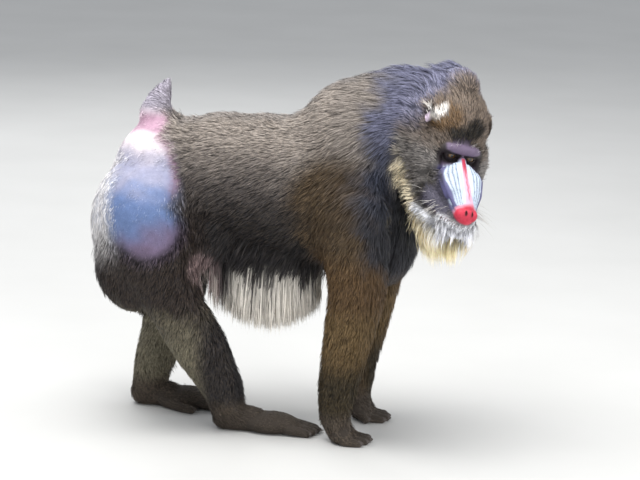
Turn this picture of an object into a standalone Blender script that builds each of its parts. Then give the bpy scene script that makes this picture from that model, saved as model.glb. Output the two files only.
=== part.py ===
"""Adult male mandrill, life size, walking on all fours with its head turned to its right.

Metres, +Z up. +X is the way the body faces and +Y is the animal's left side. The flesh is
modelled whole, from round masses and tapered limbs that a voxel remesh fuses, and is then
parted into named nodes with thin cuts.
"""

import math
import random

import bmesh
import bpy
from mathutils import Matrix, Vector
from mathutils.bvhtree import BVHTree

GAP = 0.0003
RIGHT = -1
LEFT = 1
SIDES = {RIGHT: "right", LEFT: "left"}

# How the head is carried: its middle between the ears, and its turn from the body's line.
HEAD_CENTRE = Vector((0.291, -0.030, 0.566))
HEAD_YAW = math.radians(-63)
HEAD_PITCH = math.radians(14)
HEAD_ROLL = math.radians(-13.5)

# Sizes inside the head's own frame.
EYE_RADIUS = 0.0105
EYE_PLACE = (0.068, 0.0185, -0.003)
EAR_PLACE = (0.022, 0.062, 0.049)
EAR_SCALE = 0.82
MUZZLE_TOP = Vector((0.088, 0.0, 0.000))
NOSE_TOP = Vector((0.183, 0.0, -0.051))
LOBES = 4

# Long hair: how far the plain form under it lies below the tips, and the locks' sizes.
CORE_DROP = 0.009
LOCK_LENGTH = 0.072
LOCK_WIDTH = 0.050
MANTLE_ROWS = 6
MANTLE_AROUND = 11
FRINGE_ALONG = 9
FRINGE_FOOT_Z = 0.190
BEARD_FOOT_Z = 0.343

# The rounded cutter that parts the head from the neck, in the head's frame.
HEAD_REACH_CENTRE = (0.122, 0.0, 0.0)
HEAD_REACH = (0.190, 0.118, 0.210)

# Heights and lengths at which the whole form is parted.
FLOOR_CUT = 0.0025
WRIST_Z = 0.058
ELBOW_Z = 0.262
SHOULDER_Z = 0.425
SHOULDER_Y = 0.078
ARM_BACK = 0.0765
ANKLE_Z = 0.052
KNEE_Z = 0.226
HIP_Z = 0.388
THIGH_X = -0.128
SHANK_LEAN = {RIGHT: -12.0, LEFT: 12.0}
GROIN_Y = 0.030
TAIL_Z = 0.590
RUMP_X = -0.165
NECK_X = 0.085

# Each limb is a list of (point, radius) down its length, with the short coat included.
ARMS = {
    RIGHT: [
        ((0.140, -0.112, 0.430), 0.066),
        ((0.149, -0.120, 0.290), 0.052),
        ((0.130, -0.110, 0.190), 0.044),
        ((0.115, -0.100, 0.113), 0.037),
        ((0.108, -0.090, 0.052), 0.029),
    ],
    LEFT: [
        ((0.140, 0.112, 0.430), 0.066),
        ((0.145, 0.120, 0.285), 0.052),
        ((0.132, 0.102, 0.185), 0.043),
        ((0.121, 0.090, 0.112), 0.036),
        ((0.118, 0.080, 0.052), 0.029),
    ],
}
LEGS = {
    RIGHT: [
        ((-0.250, -0.078, 0.410), 0.086),
        ((-0.230, -0.090, 0.320), 0.075),
        ((-0.190, -0.098, 0.240), 0.051),
        ((-0.143, -0.088, 0.160), 0.050),
        ((-0.106, -0.068, 0.085), 0.038),
        ((-0.098, -0.060, 0.045), 0.033),
    ],
    LEFT: [
        ((-0.250, 0.078, 0.410), 0.086),
        ((-0.240, 0.090, 0.320), 0.075),
        ((-0.232, 0.096, 0.238), 0.057),
        ((-0.250, 0.088, 0.155), 0.048),
        ((-0.272, 0.080, 0.088), 0.038),
        ((-0.280, 0.075, 0.045), 0.033),
    ],
}
TAIL = [
    ((-0.246, 0.0, 0.540), 0.040),
    ((-0.254, 0.0, 0.577), 0.033),
    ((-0.249, 0.0, 0.603), 0.0245),
    ((-0.238, 0.0, 0.627), 0.0125),
    ((-0.229, 0.0, 0.644), 0.0055),
]

BODY_TRIANGLES = 4100
HEAD_TRIANGLES = 2700
EAR_TRIANGLES = 110
KEPT_FACES = 0.72

# Colour and roughness of each node, by the start of its name.
FINISHES = {
    "head": ((0.135, 0.105, 0.062), 0.90),
    "jaw": ((0.560, 0.430, 0.230), 0.90),
    "eye": ((0.060, 0.028, 0.010), 0.15),
    "ear": ((0.420, 0.250, 0.260), 0.60),
    "neck": ((0.075, 0.078, 0.090), 0.90),
    "torso": ((0.115, 0.095, 0.068), 0.90),
    "rump": ((0.330, 0.300, 0.420), 0.60),
    "tail": ((0.330, 0.290, 0.290), 0.85),
    "upper_arm": ((0.160, 0.120, 0.075), 0.90),
    "forearm": ((0.130, 0.100, 0.066), 0.90),
    "hand": ((0.070, 0.055, 0.045), 0.75),
    "thigh": ((0.110, 0.090, 0.075), 0.90),
    "shank": ((0.125, 0.100, 0.070), 0.90),
    "foot": ((0.075, 0.060, 0.048), 0.75),
}


def head_matrix():
    """The head's own frame: +X out of the face, +Y to its left, +Z to its crown."""
    turn = (
        Matrix.Rotation(HEAD_YAW, 4, "Z")
        @ Matrix.Rotation(HEAD_PITCH, 4, "Y")
        @ Matrix.Rotation(HEAD_ROLL, 4, "X")
    )
    return Matrix.Translation(HEAD_CENTRE) @ turn


def add_ball(bm, centre, radii, turn_deg=0.0, detail=3):
    """Adds an ellipsoid, turned about its own Y axis."""
    place = (
        Matrix.Translation(centre)
        @ Matrix.Rotation(math.radians(turn_deg), 4, "Y")
        @ Matrix.Diagonal((*radii, 1.0))
    )
    bmesh.ops.create_icosphere(bm, subdivisions=detail, radius=1.0, matrix=place)


def add_limb(bm, stations, segments=20):
    """Adds balls joined by cones, through a list of (point, radius)."""
    for point, radius in stations:
        add_ball(bm, point, (radius, radius, radius), detail=2 if radius < 0.02 else 3)
    for (low, low_r), (high, high_r) in zip(stations, stations[1:]):
        start, end = Vector(low), Vector(high)
        along = end - start
        turn = along.to_track_quat("Z", "Y").to_matrix().to_4x4()
        bmesh.ops.create_cone(
            bm,
            cap_ends=True,
            segments=segments,
            radius1=low_r,
            radius2=high_r,
            depth=along.length,
            matrix=Matrix.Translation((start + end) / 2) @ turn,
        )


def add_box(bm, low, high):
    """Adds a box between two corners."""
    low, high = Vector(low), Vector(high)
    size = high - low
    place = Matrix.Translation((low + high) / 2) @ Matrix.Diagonal((*size, 1.0))
    bmesh.ops.create_cube(bm, size=1.0, matrix=place)


def object_of(name, bm, collection=None):
    """Turns a bmesh into an object of the given collection."""
    mesh = bpy.data.meshes.new(name)
    bm.to_mesh(mesh)
    bm.free()
    made = bpy.data.objects.new(name, mesh)
    (collection or bpy.context.scene.collection).objects.link(made)
    return made


def copy_of(obj, name):
    """A second object with its own copy of the mesh."""
    made = bpy.data.objects.new(name, obj.data.copy())
    bpy.context.scene.collection.objects.link(made)
    return made


def apply_modifiers(obj):
    """Replaces an object's mesh by what its modifiers make of it."""
    graph = bpy.context.evaluated_depsgraph_get()
    mesh = bpy.data.meshes.new_from_object(obj.evaluated_get(graph))
    obj.modifiers.clear()
    obj.data = mesh
    return obj


def fuse(obj, voxel, smoothing, triangles=None):
    """Fuses overlapping closed shapes into one skin, eases the joins and thins the faces."""
    remesh = obj.modifiers.new("fuse", "REMESH")
    remesh.mode = "VOXEL"
    remesh.voxel_size = voxel
    smooth = obj.modifiers.new("ease", "SMOOTH")
    smooth.factor = 0.5
    smooth.iterations = smoothing
    apply_modifiers(obj)
    if triangles:
        now = sum(len(p.vertices) - 2 for p in obj.data.polygons)
        thin = obj.modifiers.new("thin", "DECIMATE")
        thin.ratio = min(1.0, triangles / now)
        thin.use_collapse_triangulate = True
        apply_modifiers(obj)
    return obj


def thin_faces(obj, ratio):
    """Merges the many flat slivers that a union leaves, without a change of form."""
    thin = obj.modifiers.new("thin", "DECIMATE")
    thin.ratio = ratio
    thin.use_collapse_triangulate = True
    return apply_modifiers(obj)


def combine(obj, other, operation, solver="EXACT"):
    """Applies one Boolean between two objects, and removes the second."""
    other.hide_render = True
    other.display_type = "WIRE"
    cut = obj.modifiers.new("part", "BOOLEAN")
    cut.operation = operation
    cut.object = other
    cut.solver = solver
    apply_modifiers(obj)
    bpy.data.objects.remove(other)
    return obj


def keep_largest(obj):
    """Drops every closed surface of a mesh but the one with the largest volume."""
    bm = bmesh.new()
    bm.from_mesh(obj.data)
    bmesh.ops.triangulate(bm, faces=bm.faces[:])
    left = set(bm.faces)
    bodies = []
    while left:
        front = [left.pop()]
        body = list(front)
        while front:
            face = front.pop()
            for edge in face.edges:
                for other in edge.link_faces:
                    if other in left:
                        left.remove(other)
                        front.append(other)
                        body.append(other)
        volume = 0.0
        for face in body:
            a, b, c = (v.co for v in face.verts)
            volume += a.dot(b.cross(c)) / 6
        bodies.append((abs(volume), body))
    bodies.sort(key=lambda item: item[0])
    for _, body in bodies[:-1]:
        bmesh.ops.delete(bm, geom=body, context="FACES")
    loose = [v for v in bm.verts if not v.link_faces]
    bmesh.ops.delete(bm, geom=loose, context="VERTS")
    bm.to_mesh(obj.data)
    bm.free()
    return obj


def add_torso(bm):
    """The trunk from pelvis to withers, and the rump over the hips."""
    add_ball(bm, (-0.228, 0, 0.452), (0.108, 0.100, 0.125))
    add_ball(bm, (-0.120, 0, 0.470), (0.130, 0.100, 0.117))
    add_ball(bm, (-0.045, 0, 0.460), (0.150, 0.112, 0.128))
    add_ball(bm, (0.030, 0, 0.452), (0.150, 0.120, 0.141))
    add_ball(bm, (0.095, 0, 0.500), (0.110, 0.105, 0.135))
    for side in (RIGHT, LEFT):
        add_ball(bm, (-0.268, side * 0.058, 0.380), (0.094, 0.066, 0.125))
        add_ball(bm, (-0.270, side * 0.078, 0.302), (0.078, 0.055, 0.085), turn_deg=-25)
        add_ball(bm, (-0.150, side * 0.054, 0.352), (0.060, 0.034, 0.056))
        add_ball(bm, (0.120, side * 0.095, 0.440), (0.075, 0.058, 0.110))
    add_ball(bm, (-0.040, 0, 0.315), (0.110, 0.070, 0.070))


def add_neck(bm):
    """The neck and chest as the core that the mantle's locks stand on."""
    drop = CORE_DROP
    add_limb(bm, [((0.074, 0, 0.514), 0.100), ((0.130, 0, 0.545), 0.128 - drop)])
    add_ball(bm, (0.165, 0, 0.556), (0.120 - drop, 0.108 - drop, 0.130 - drop))
    add_ball(bm, (0.205, 0, 0.570), (0.115 - drop, 0.094 - drop, 0.130 - drop))
    add_ball(bm, (0.243, -0.002, 0.586), (0.098 - drop, 0.072 - drop, 0.112 - drop))
    add_ball(bm, (0.175, 0, 0.400), (0.080 - drop, 0.085 - drop, 0.130 - drop))


def add_foot(bm, side, heel, toes_x):
    """A long flat foot with four toes and an inner grasping toe."""
    hx, hy, hz = heel
    add_limb(bm, [((hx, hy, hz), 0.026), ((hx + 0.05, hy, 0.024), 0.024)])
    add_ball(bm, (hx + 0.085, hy + side * 0.002, 0.020), (0.055, 0.034, 0.021))
    for k in range(4):
        y = hy + side * (0.024 - 0.0165 * k)
        reach = (0.012, 0.004, 0.0, 0.008)[k]
        add_limb(
            bm,
            [
                ((hx + 0.105, hy + (y - hy) * 0.7, 0.018), 0.012),
                ((toes_x - 0.030 - reach, y, 0.014), 0.0095),
                ((toes_x - reach, y, 0.009), 0.0075),
            ],
            segments=10,
        )
    add_limb(
        bm,
        [
            ((hx + 0.045, hy - side * 0.022, 0.016), 0.012),
            ((hx + 0.085, hy - side * 0.046, 0.011), 0.009),
            ((hx + 0.105, hy - side * 0.052, 0.009), 0.0075),
        ],
        segments=10,
    )


def add_hand(bm, side, wrist, tips_x):
    """A hand that stands on its flat fingers with the palm raised."""
    wx, wy, wz = wrist
    add_limb(bm, [((wx, wy, wz), 0.028), ((wx + 0.008, wy, 0.030), 0.025)])
    add_ball(bm, (wx + 0.014, wy, 0.020), (0.024, 0.032, 0.020))
    for k in range(4):
        y = wy + side * (0.026 - 0.0172 * k)
        reach = (0.012, 0.003, 0.0, 0.006)[k]
        add_limb(
            bm,
            [
                ((wx + 0.022, wy + (y - wy) * 0.8, 0.020), 0.0115),
                ((tips_x - 0.028 - reach, y, 0.011), 0.0090),
                ((tips_x - reach, y, 0.0075), 0.0070),
            ],
            segments=10,
        )
    add_limb(
        bm,
        [
            ((wx + 0.006, wy - side * 0.024, 0.024), 0.010),
            ((wx + 0.028, wy - side * 0.040, 0.010), 0.0075),
        ],
        segments=10,
    )


def build_body():
    """The whole body without the head."""
    bm = bmesh.new()
    add_torso(bm)
    add_neck(bm)
    for side in (RIGHT, LEFT):
        add_limb(bm, ARMS[side])
        add_limb(bm, LEGS[side])
    add_limb(bm, TAIL)
    trunk = fuse(object_of("trunk", bm), 0.006, 14)
    bm = bmesh.new()
    bm.from_mesh(trunk.data)
    bpy.data.objects.remove(trunk)
    for side in (RIGHT, LEFT):
        wrist = ARMS[side][-1][0]
        add_hand(bm, side, wrist, wrist[0] + 0.062)
    add_foot(bm, RIGHT, (-0.102, -0.056, 0.027), 0.068)
    add_foot(bm, LEFT, (-0.290, 0.073, 0.027), -0.116)
    return fuse(object_of("body", bm), 0.0035, 3, BODY_TRIANGLES)


def add_skull(bm):
    """Cranium, crown, back of the head, brow ridge and the face round the eye sockets."""
    add_ball(bm, (-0.008, 0, 0.028), (0.084, 0.066, 0.072))
    drop = CORE_DROP * 0.8
    add_ball(bm, (-0.027, 0, 0.080), (0.062 - drop, 0.045 - drop, 0.055 - drop))
    add_ball(bm, (-0.072, 0, 0.068), (0.058 - drop, 0.048 - drop, 0.058 - drop))
    add_ball(bm, (-0.060, 0, 0.010), (0.060, 0.065, 0.070))
    add_ball(bm, (0.045, 0, 0.010), (0.036, 0.044, 0.030))
    brow = [((0.064, -0.037, 0.003), 0.0090), ((0.078, -0.016, 0.012), 0.0098)]
    brow += [((0.078, 0.016, 0.012), 0.0098), ((0.064, 0.037, 0.003), 0.0090)]
    add_limb(bm, brow)
    add_ball(bm, (0.040, 0, -0.020), (0.036, 0.044, 0.036))
    for side in (RIGHT, LEFT):
        add_limb(
            bm,
            [
                ((0.064, side * 0.037, 0.003), 0.009),
                ((0.060, side * 0.043, -0.012), 0.011),
                ((0.070, side * 0.040, -0.030), 0.014),
            ],
        )


def add_muzzle(bm):
    """The long muzzle with its raised mid-line, nose pad, lips and lower jaw."""
    slope = (NOSE_TOP - MUZZLE_TOP).normalized()
    raised = Vector((-slope.z, 0.0, slope.x))
    length = (NOSE_TOP - MUZZLE_TOP).length

    def on_ridge(share, side, out, lift):
        """A point by its share of the muzzle's length, distance aside and height."""
        return MUZZLE_TOP + slope * (share * length) + raised * lift + Vector((0.0, side * out, 0.0))

    core = [((0.055, 0, -0.045), 0.040), ((0.100, 0, -0.057), 0.034)]
    core += [((0.145, 0, -0.076), 0.027), ((0.164, 0, -0.084), 0.021)]
    add_limb(bm, core)
    middle = [(on_ridge(s, 0, 0, -r), r) for s, r in ((0.0, 0.008), (0.35, 0.008), (0.7, 0.009))]
    middle += [(on_ridge(0.93, 0, 0, -0.012), 0.012)]
    add_limb(bm, middle)
    for side in (RIGHT, LEFT):
        for lobe in range(LOBES):
            across = lobe / (LOBES - 1)
            drop = 0.004 * across * across
            radius = 0.0074 - 0.0012 * across
            low = 0.10 + 0.10 * across
            add_limb(
                bm,
                [
                    (on_ridge(low, side, 0.0115 + 0.016 * across, -0.010 - drop), radius * 0.8),
                    (on_ridge(0.32, side, 0.0120 + 0.024 * across, -0.0075 - 2.4 * drop), radius),
                    (on_ridge(0.62, side, 0.0115 + 0.0175 * across, -0.0085 - 2 * drop), radius * 0.95),
                    (on_ridge(0.93, side, 0.0095 + 0.008 * across, -0.0130 - 2 * drop), radius * 0.55),
                ],
                segments=12,
            )
        add_limb(
            bm,
            [
                (on_ridge(0.25, side, 0.025, -0.024), 0.017),
                (on_ridge(0.60, side, 0.021, -0.024), 0.014),
            ],
        )
        add_ball(bm, (0.176, side * 0.0115, -0.073), (0.0130, 0.0110, 0.0140))
        add_limb(
            bm,
            [
                ((0.168, side * 0.009, -0.090), 0.0120),
                ((0.140, side * 0.024, -0.090), 0.0150),
                ((0.095, side * 0.034, -0.084), 0.0190),
                ((0.060, side * 0.038, -0.070), 0.0220),
            ],
        )
        add_limb(
            bm,
            [
                ((0.158, side * 0.009, -0.112), 0.0110),
                ((0.115, side * 0.025, -0.117), 0.0170),
                ((0.060, side * 0.038, -0.115), 0.0250),
                ((0.020, side * 0.044, -0.092), 0.0300),
            ],
        )
    add_ball(bm, (0.180, 0, -0.072), (0.0110, 0.0165, 0.0160))
    add_limb(bm, [((0.166, 0, -0.092), 0.012), ((0.060, 0, -0.090), 0.030)])
    add_limb(bm, [((0.158, 0, -0.112), 0.011), ((0.110, 0, -0.114), 0.020), ((0.050, 0, -0.105), 0.032)])


def add_cheeks(bm):
    """Cheeks, with the core that the ruff's locks stand on."""
    for side in (RIGHT, LEFT):
        add_ball(bm, (0.026, side * 0.044, -0.032), (0.046, 0.032, 0.054))
        wide = (0.052 - CORE_DROP, 0.037 - CORE_DROP, 0.068 - CORE_DROP)
        add_ball(bm, (-0.024, side * 0.052, -0.026), wide, turn_deg=15)


def build_head():
    """The head modelled in its own frame, then set in place on the neck."""
    bm = bmesh.new()
    add_skull(bm)
    add_muzzle(bm)
    add_cheeks(bm)
    head = fuse(object_of("head_form", bm), 0.0018, 3, HEAD_TRIANGLES)
    for side in (RIGHT, LEFT):
        x, y, z = EYE_PLACE
        bm = bmesh.new()
        add_ball(bm, (x, side * y, z), (EYE_RADIUS * 1.22,) * 3, detail=2)
        combine(head, object_of("lids", bm), "UNION")
        bm = bmesh.new()
        add_ball(bm, (x, side * y, z), (EYE_RADIUS + GAP,) * 3, detail=2)
        combine(head, object_of("socket", bm), "DIFFERENCE")
        bm = bmesh.new()
        add_ball(bm, (x + 0.014, side * (y + 0.001), z), (0.012, 0.0088, 0.0044), detail=2)
        combine(head, object_of("opening", bm), "DIFFERENCE")
        bm = bmesh.new()
        add_ball(bm, (0.188, side * 0.0078, -0.073), (0.0075, 0.0032, 0.0060), turn_deg=20, detail=2)
        combine(head, object_of("nostril", bm), "DIFFERENCE")
    keep_largest(head)
    head.data.transform(head_matrix())
    return head


def build_eye(side):
    """One eyeball."""
    x, y, z = EYE_PLACE
    bm = bmesh.new()
    add_ball(bm, (x, side * y, z), (EYE_RADIUS,) * 3, detail=2)
    eye = object_of("eye_" + SIDES[side], bm)
    eye.data.transform(head_matrix())
    return eye


def build_ear(side, flesh):
    """A small bare ear: a rounded shell with a hollowed cup, seated against the head."""
    x, y, z = EAR_PLACE
    bm = bmesh.new()
    add_ball(bm, (0, 0, 0), (0.0200, 0.0085, 0.0250))
    add_ball(bm, (0.006, -0.010, -0.006), (0.0120, 0.0110, 0.0160))
    ear = fuse(object_of("ear_" + SIDES[side], bm), 0.0012, 2, EAR_TRIANGLES)
    bm = bmesh.new()
    add_ball(bm, (0.0030, 0.0085, 0.0015), (0.0145, 0.0085, 0.0185))
    combine(ear, object_of("cup", bm), "DIFFERENCE")
    lean = Matrix.Rotation(math.radians(-12), 4, "Y") @ Matrix.Rotation(math.radians(14), 4, "Z")
    place = Matrix.Translation((x, y, z)) @ lean @ Matrix.Scale(EAR_SCALE, 4)
    ear.data.transform(place)
    if side == RIGHT:
        ear.data.transform(Matrix.Diagonal((1.0, -1.0, 1.0, 1.0)))
    ear.data.transform(head_matrix())
    thin_faces(ear, 0.55)
    combine(ear, swollen(flesh, GAP), "DIFFERENCE")
    return keep_largest(ear)


def swollen(obj, by):
    """A copy of a closed mesh moved out along its normals, to cut its neighbours clear."""
    made = copy_of(obj, obj.name + "_swollen")
    grow = made.modifiers.new("grow", "DISPLACE")
    grow.mid_level = 0.0
    grow.strength = by
    return apply_modifiers(made)


def region_box(low, high, grow=0.0, lean_deg=0.0):
    """A cutter box between two corners, made larger all round, leaned about its top front edge."""
    bm = bmesh.new()
    step = Vector((grow, grow, grow))
    add_box(bm, Vector(low) - step, Vector(high) + step)
    made = object_of("region", bm)
    pivot = Matrix.Translation((high[0], 0.0, high[2]))
    made.data.transform(pivot @ Matrix.Rotation(math.radians(lean_deg), 4, "Y") @ pivot.inverted())
    return made


def region_head(grow=0.0):
    """The rounded cutter that parts the head and its ruff from the neck."""
    bm = bmesh.new()
    radii = tuple(r + grow for r in HEAD_REACH)
    add_ball(bm, HEAD_REACH_CENTRE, radii, detail=3)
    made = object_of("region", bm)
    made.data.transform(head_matrix())
    return made


def region_jaw(grow=0.0):
    """The cutter below the line of the mouth."""
    bm = bmesh.new()
    step = Vector((grow, grow, grow))
    add_box(bm, Vector((0.020, -0.15, -0.20)) - step, Vector((0.25, 0.15, 0.0)) + step)
    made = object_of("region", bm)
    tip = Matrix.Translation((0.0, 0.0, -0.106)) @ Matrix.Rotation(math.radians(-4.5), 4, "Y")
    made.data.transform(head_matrix() @ tip)
    return made


def part_off(whole, name, region):
    """Parts a named node off the whole with a gap all along the cut."""
    node = copy_of(whole, name)
    combine(node, region(0.0), "INTERSECT")
    combine(whole, region(GAP), "DIFFERENCE")
    return keep_largest(node)


def part_limbs(whole):
    """Parts the arms and legs into their lengths, from the ground up."""
    nodes = []
    for side in (RIGHT, LEFT):
        out = side * 0.30
        pieces = (
            ("hand_", ARM_BACK, 0.26, side * 0.010, WRIST_Z, 0.0),
            ("forearm_", ARM_BACK, 0.26, side * 0.010, ELBOW_Z, 0.0),
            ("upper_arm_", 0.070, 0.26, side * SHOULDER_Y, SHOULDER_Z, 0.0),
            ("foot_", -0.40, 0.11, side * 0.002, ANKLE_Z, 0.0),
            ("shank_", -0.50, -0.118, side * 0.004, KNEE_Z, SHANK_LEAN[side]),
            ("thigh_", -0.50, THIGH_X, side * GROIN_Y, HIP_Z, 0.0),
        )
        for name, back, front, inner, top, lean in pieces:
            low = (back, min(inner, out), -0.30)
            high = (front, max(inner, out), top)

            def region(grow, low=low, high=high, lean=lean):
                """The cutter of this length of limb."""
                return region_box(low, high, grow, lean)

            nodes.append(part_off(whole, name + SIDES[side], region))
    return nodes


def lock_shape(path, width, thickness):
    """One flat tapered lock of four sides along a list of (point, outward) pairs, as an object."""
    bm = bmesh.new()
    rings = []
    last = len(path) - 1
    for i, (point, out) in enumerate(path):
        along = (path[min(i + 1, last)][0] - path[max(i - 1, 0)][0]).normalized()
        across = along.cross(out).normalized()
        up = across.cross(along).normalized()
        if i == last:
            tip = bm.verts.new(point)
            break
        swell = math.sin(math.pi * (0.27 + 0.73 * i / last))
        half = across * (width * 0.5 * swell)
        deep = up * (thickness * 0.5 * (1.1 - 0.6 * i / last))
        corners = (point + half, point + deep, point - half, point - deep)
        rings.append([bm.verts.new(corner) for corner in corners])
    for low, high in zip(rings, rings[1:]):
        for k in range(4):
            a, b, c, d = low[k], low[(k + 1) % 4], high[(k + 1) % 4], high[k]
            if k % 2:
                bm.faces.new((a, b, c))
                bm.faces.new((a, c, d))
            else:
                bm.faces.new((a, b, d))
                bm.faces.new((b, c, d))
    for k in range(4):
        bm.faces.new((rings[-1][k], rings[-1][(k + 1) % 4], tip))
    bm.faces.new((rings[0][3], rings[0][2], rings[0][1]))
    bm.faces.new((rings[0][3], rings[0][1], rings[0][0]))
    bmesh.ops.recalc_face_normals(bm, faces=bm.faces[:])
    return object_of("lock", bm)


def lie_along(surface, root, aim, length, sink, rise, steps=3):
    """A path that starts sunk under the surface at the root and rises as it follows the lie."""
    place, normal, _, _ = surface.find_nearest(root)
    path = []
    for i in range(steps + 1):
        share = i / steps
        height = -sink + (sink + rise) * math.sin(share * math.pi / 2)
        path.append((place + normal * height, normal))
        onward = aim - normal * aim.dot(normal)
        place, found, _, _ = surface.find_nearest(place + onward.normalized() * (length / steps))
        normal = (normal + found).normalized()
    return path


def hang_from(surface, root, centre, length, sink, flare, steps=3):
    """A path that leaves the surface outwards and bends down to hang straight."""
    place, normal, _, _ = surface.find_nearest(root)
    away = Vector((place.x - centre.x, place.y - centre.y, 0.0))
    away = away.normalized() if away.length > 0.004 else Vector((1.0, 0.0, 0.0))
    path = []
    for i in range(steps + 1):
        share = i / steps
        point = place - normal * sink * (1 - share) + away * (flare * math.sin(share * 2.4))
        path.append((point + Vector((0.0, 0.0, -length * share)), away))
    return path


def ray_out(surface, origin, direction):
    """Where a ray from inside the body last leaves it, near the origin."""
    found, _, _, _ = surface.ray_cast(origin, direction.normalized(), 0.4)
    return found


def inside_head(point):
    """How far out a point lies in the cutter that parts the head, 1.0 being on it."""
    local = head_matrix().inverted() @ point - Vector(HEAD_REACH_CENTRE)
    return math.sqrt(sum((c / r) ** 2 for c, r in zip(local, HEAD_REACH)))


def mantle_locks(surface, draw):
    """Rows of long locks over nape, sides of the neck and shoulders, lying back and down."""
    locks = []
    for row in range(MANTLE_ROWS):
        share = row / (MANTLE_ROWS - 1)
        origin = Vector((0.246 - 0.150 * share, 0.0, 0.570 - 0.035 * share))
        for k in range(MANTLE_AROUND):
            turn = math.radians(-142 + 284 * (k + 0.5 * (row % 2)) / (MANTLE_AROUND - 0.5))
            root = ray_out(surface, origin, Vector((0.12, math.sin(turn), math.cos(turn))))
            if root is None or inside_head(root) < 1.03 or root.z < 0.36:
                continue
            down = 0.20 + 0.55 * (1 - math.cos(turn))
            aim = Vector((-0.9, draw.uniform(-0.15, 0.15), -down))
            length = LOCK_LENGTH * draw.uniform(0.90, 1.15)
            path = lie_along(surface, root, aim, length, 0.008, 0.013)
            locks.append(lock_shape(path, LOCK_WIDTH * draw.uniform(0.9, 1.05), 0.006))
    return locks


def chest_locks(surface, draw):
    """The dark mane down the front of the chest."""
    locks = []
    for row in range(3):
        origin = Vector((0.165, 0.0, 0.455 - 0.060 * row))
        for k in range(6):
            turn = math.radians(-75 + 150 * (k + 0.5 * (row % 2)) / 5.5)
            root = ray_out(surface, origin, Vector((math.cos(turn), math.sin(turn), 0.0)))
            if root is None or inside_head(root) < 1.05:
                continue
            aim = Vector((-0.15, draw.uniform(-0.2, 0.2), -1.0))
            path = lie_along(surface, root, aim, 0.068 * draw.uniform(0.9, 1.1), 0.008, 0.011)
            locks.append(lock_shape(path, 0.034 * draw.uniform(0.9, 1.1), 0.006))
    return locks


def head_locks(surface, draw):
    """The crest over the crown, the cheek ruffs and the pale tufts at the ears."""
    place = head_matrix()
    turn_only = place.to_3x3()
    locks = []
    for row in range(3):
        for k in range(4):
            turn = math.radians(-54 + 108 * (k + 0.5 * (row % 2)) / 3.5)
            origin = place @ Vector((0.040 - 0.030 * row, 0.0, 0.030))
            root = ray_out(surface, origin, turn_only @ Vector((0.25, math.sin(turn), math.cos(turn))))
            aim = turn_only @ Vector((-1.0, 0.25 * math.sin(turn), 0.1))
            path = lie_along(surface, root, aim, 0.052 * draw.uniform(0.9, 1.1), 0.006, 0.008)
            locks.append(lock_shape(path, 0.042 * draw.uniform(0.9, 1.1), 0.006))
    for side in (RIGHT, LEFT):
        for row in range(2):
            for k in range(5):
                turn = math.radians(78 + 76 * (k + 0.5 * row) / 4.5)
                origin = place @ Vector((0.022 - 0.032 * row, 0.0, -0.015))
                ray = Vector((0.15, side * math.sin(turn), math.cos(turn)))
                root = ray_out(surface, origin, turn_only @ ray)
                aim = turn_only @ Vector((-0.85, side * 0.35, -0.45 - 0.1 * k))
                path = lie_along(surface, root, aim, 0.050 * draw.uniform(0.9, 1.1), 0.007, 0.008)
                locks.append(lock_shape(path, 0.040 * draw.uniform(0.9, 1.1), 0.006))
        for k in range(3):
            root = place @ Vector((0.026 + 0.007 * k, side * 0.085, 0.034 + 0.002 * k))
            aim = turn_only @ Vector((0.42, 0.0, 1.0))
            path = lie_along(surface, root, aim, 0.046, 0.007, 0.007)
            locks.append(lock_shape(path, 0.013, 0.006))
    return locks


def beard_locks(surface, draw):
    """Long locks that hang from the chin and along both sides of the jaw."""
    place = head_matrix()
    turn_only = place.to_3x3()
    centre = place @ Vector((0.095, 0.0, -0.110))
    locks = []
    for row in range(4):
        for k in range(4):
            turn = math.radians(180 - 84 + 168 * (k + 0.5 * (row % 2)) / 3.5)
            origin = place @ Vector((0.138 - 0.026 * row, 0.0, -0.118))
            root = ray_out(surface, origin, turn_only @ Vector((0.0, math.sin(turn), math.cos(turn))))
            reach = root.z - BEARD_FOOT_Z - 0.008 * abs(row - 1)
            length = max(0.030, reach) * draw.uniform(0.88, 1.0)
            path = hang_from(surface, root, centre, length, 0.007, 0.004)
            locks.append(lock_shape(path, 0.036 * draw.uniform(0.9, 1.15), 0.008))
    return locks


def fringe_locks(surface, draw):
    """The pale fringe that hangs from the belly between the arms and the thighs."""
    locks = []
    for column in range(FRINGE_ALONG):
        share = column / (FRINGE_ALONG - 1)
        x = -0.124 + 0.182 * share
        foot = FRINGE_FOOT_Z + 0.036 * abs(2 * share - 1.05) ** 2
        for k in range(4):
            turn = math.radians(180 + (-74, -28, 28, 74)[k])
            shift = 0.010 * (k % 2)
            origin = Vector((x + shift, 0.0, 0.420))
            root = ray_out(surface, origin, Vector((0.0, math.sin(turn), math.cos(turn))))
            centre = Vector((root.x + 0.004 * (1 - 2 * share), 0.0, 0.0))
            length = (root.z - foot) * draw.uniform(0.90, 1.0)
            path = hang_from(surface, root, centre, length, 0.008, 0.008)
            locks.append(lock_shape(path, 0.030 * draw.uniform(0.9, 1.15), 0.009))
    return locks


def grow_locks(node, locks, plain, grown=()):
    """Joins locks to their node in one union, then cuts it clear of plain and grown neighbours."""
    group = bpy.data.collections.new("locks")
    for piece in locks:
        group.objects.link(piece)
    join = node.modifiers.new("join", "BOOLEAN")
    join.operation = "UNION"
    join.operand_type = "COLLECTION"
    join.collection = group
    join.solver = "MANIFOLD"
    apply_modifiers(node)
    for piece in locks:
        bpy.data.objects.remove(piece)
    bpy.data.collections.remove(group)
    keep_largest(node)
    thin_faces(node, KEPT_FACES)
    for other in plain:
        combine(node, swollen(other, GAP * 0.9), "DIFFERENCE")
    for other in grown:
        combine(node, swollen(other, GAP * 0.6), "DIFFERENCE")
    return keep_largest(node)


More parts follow.
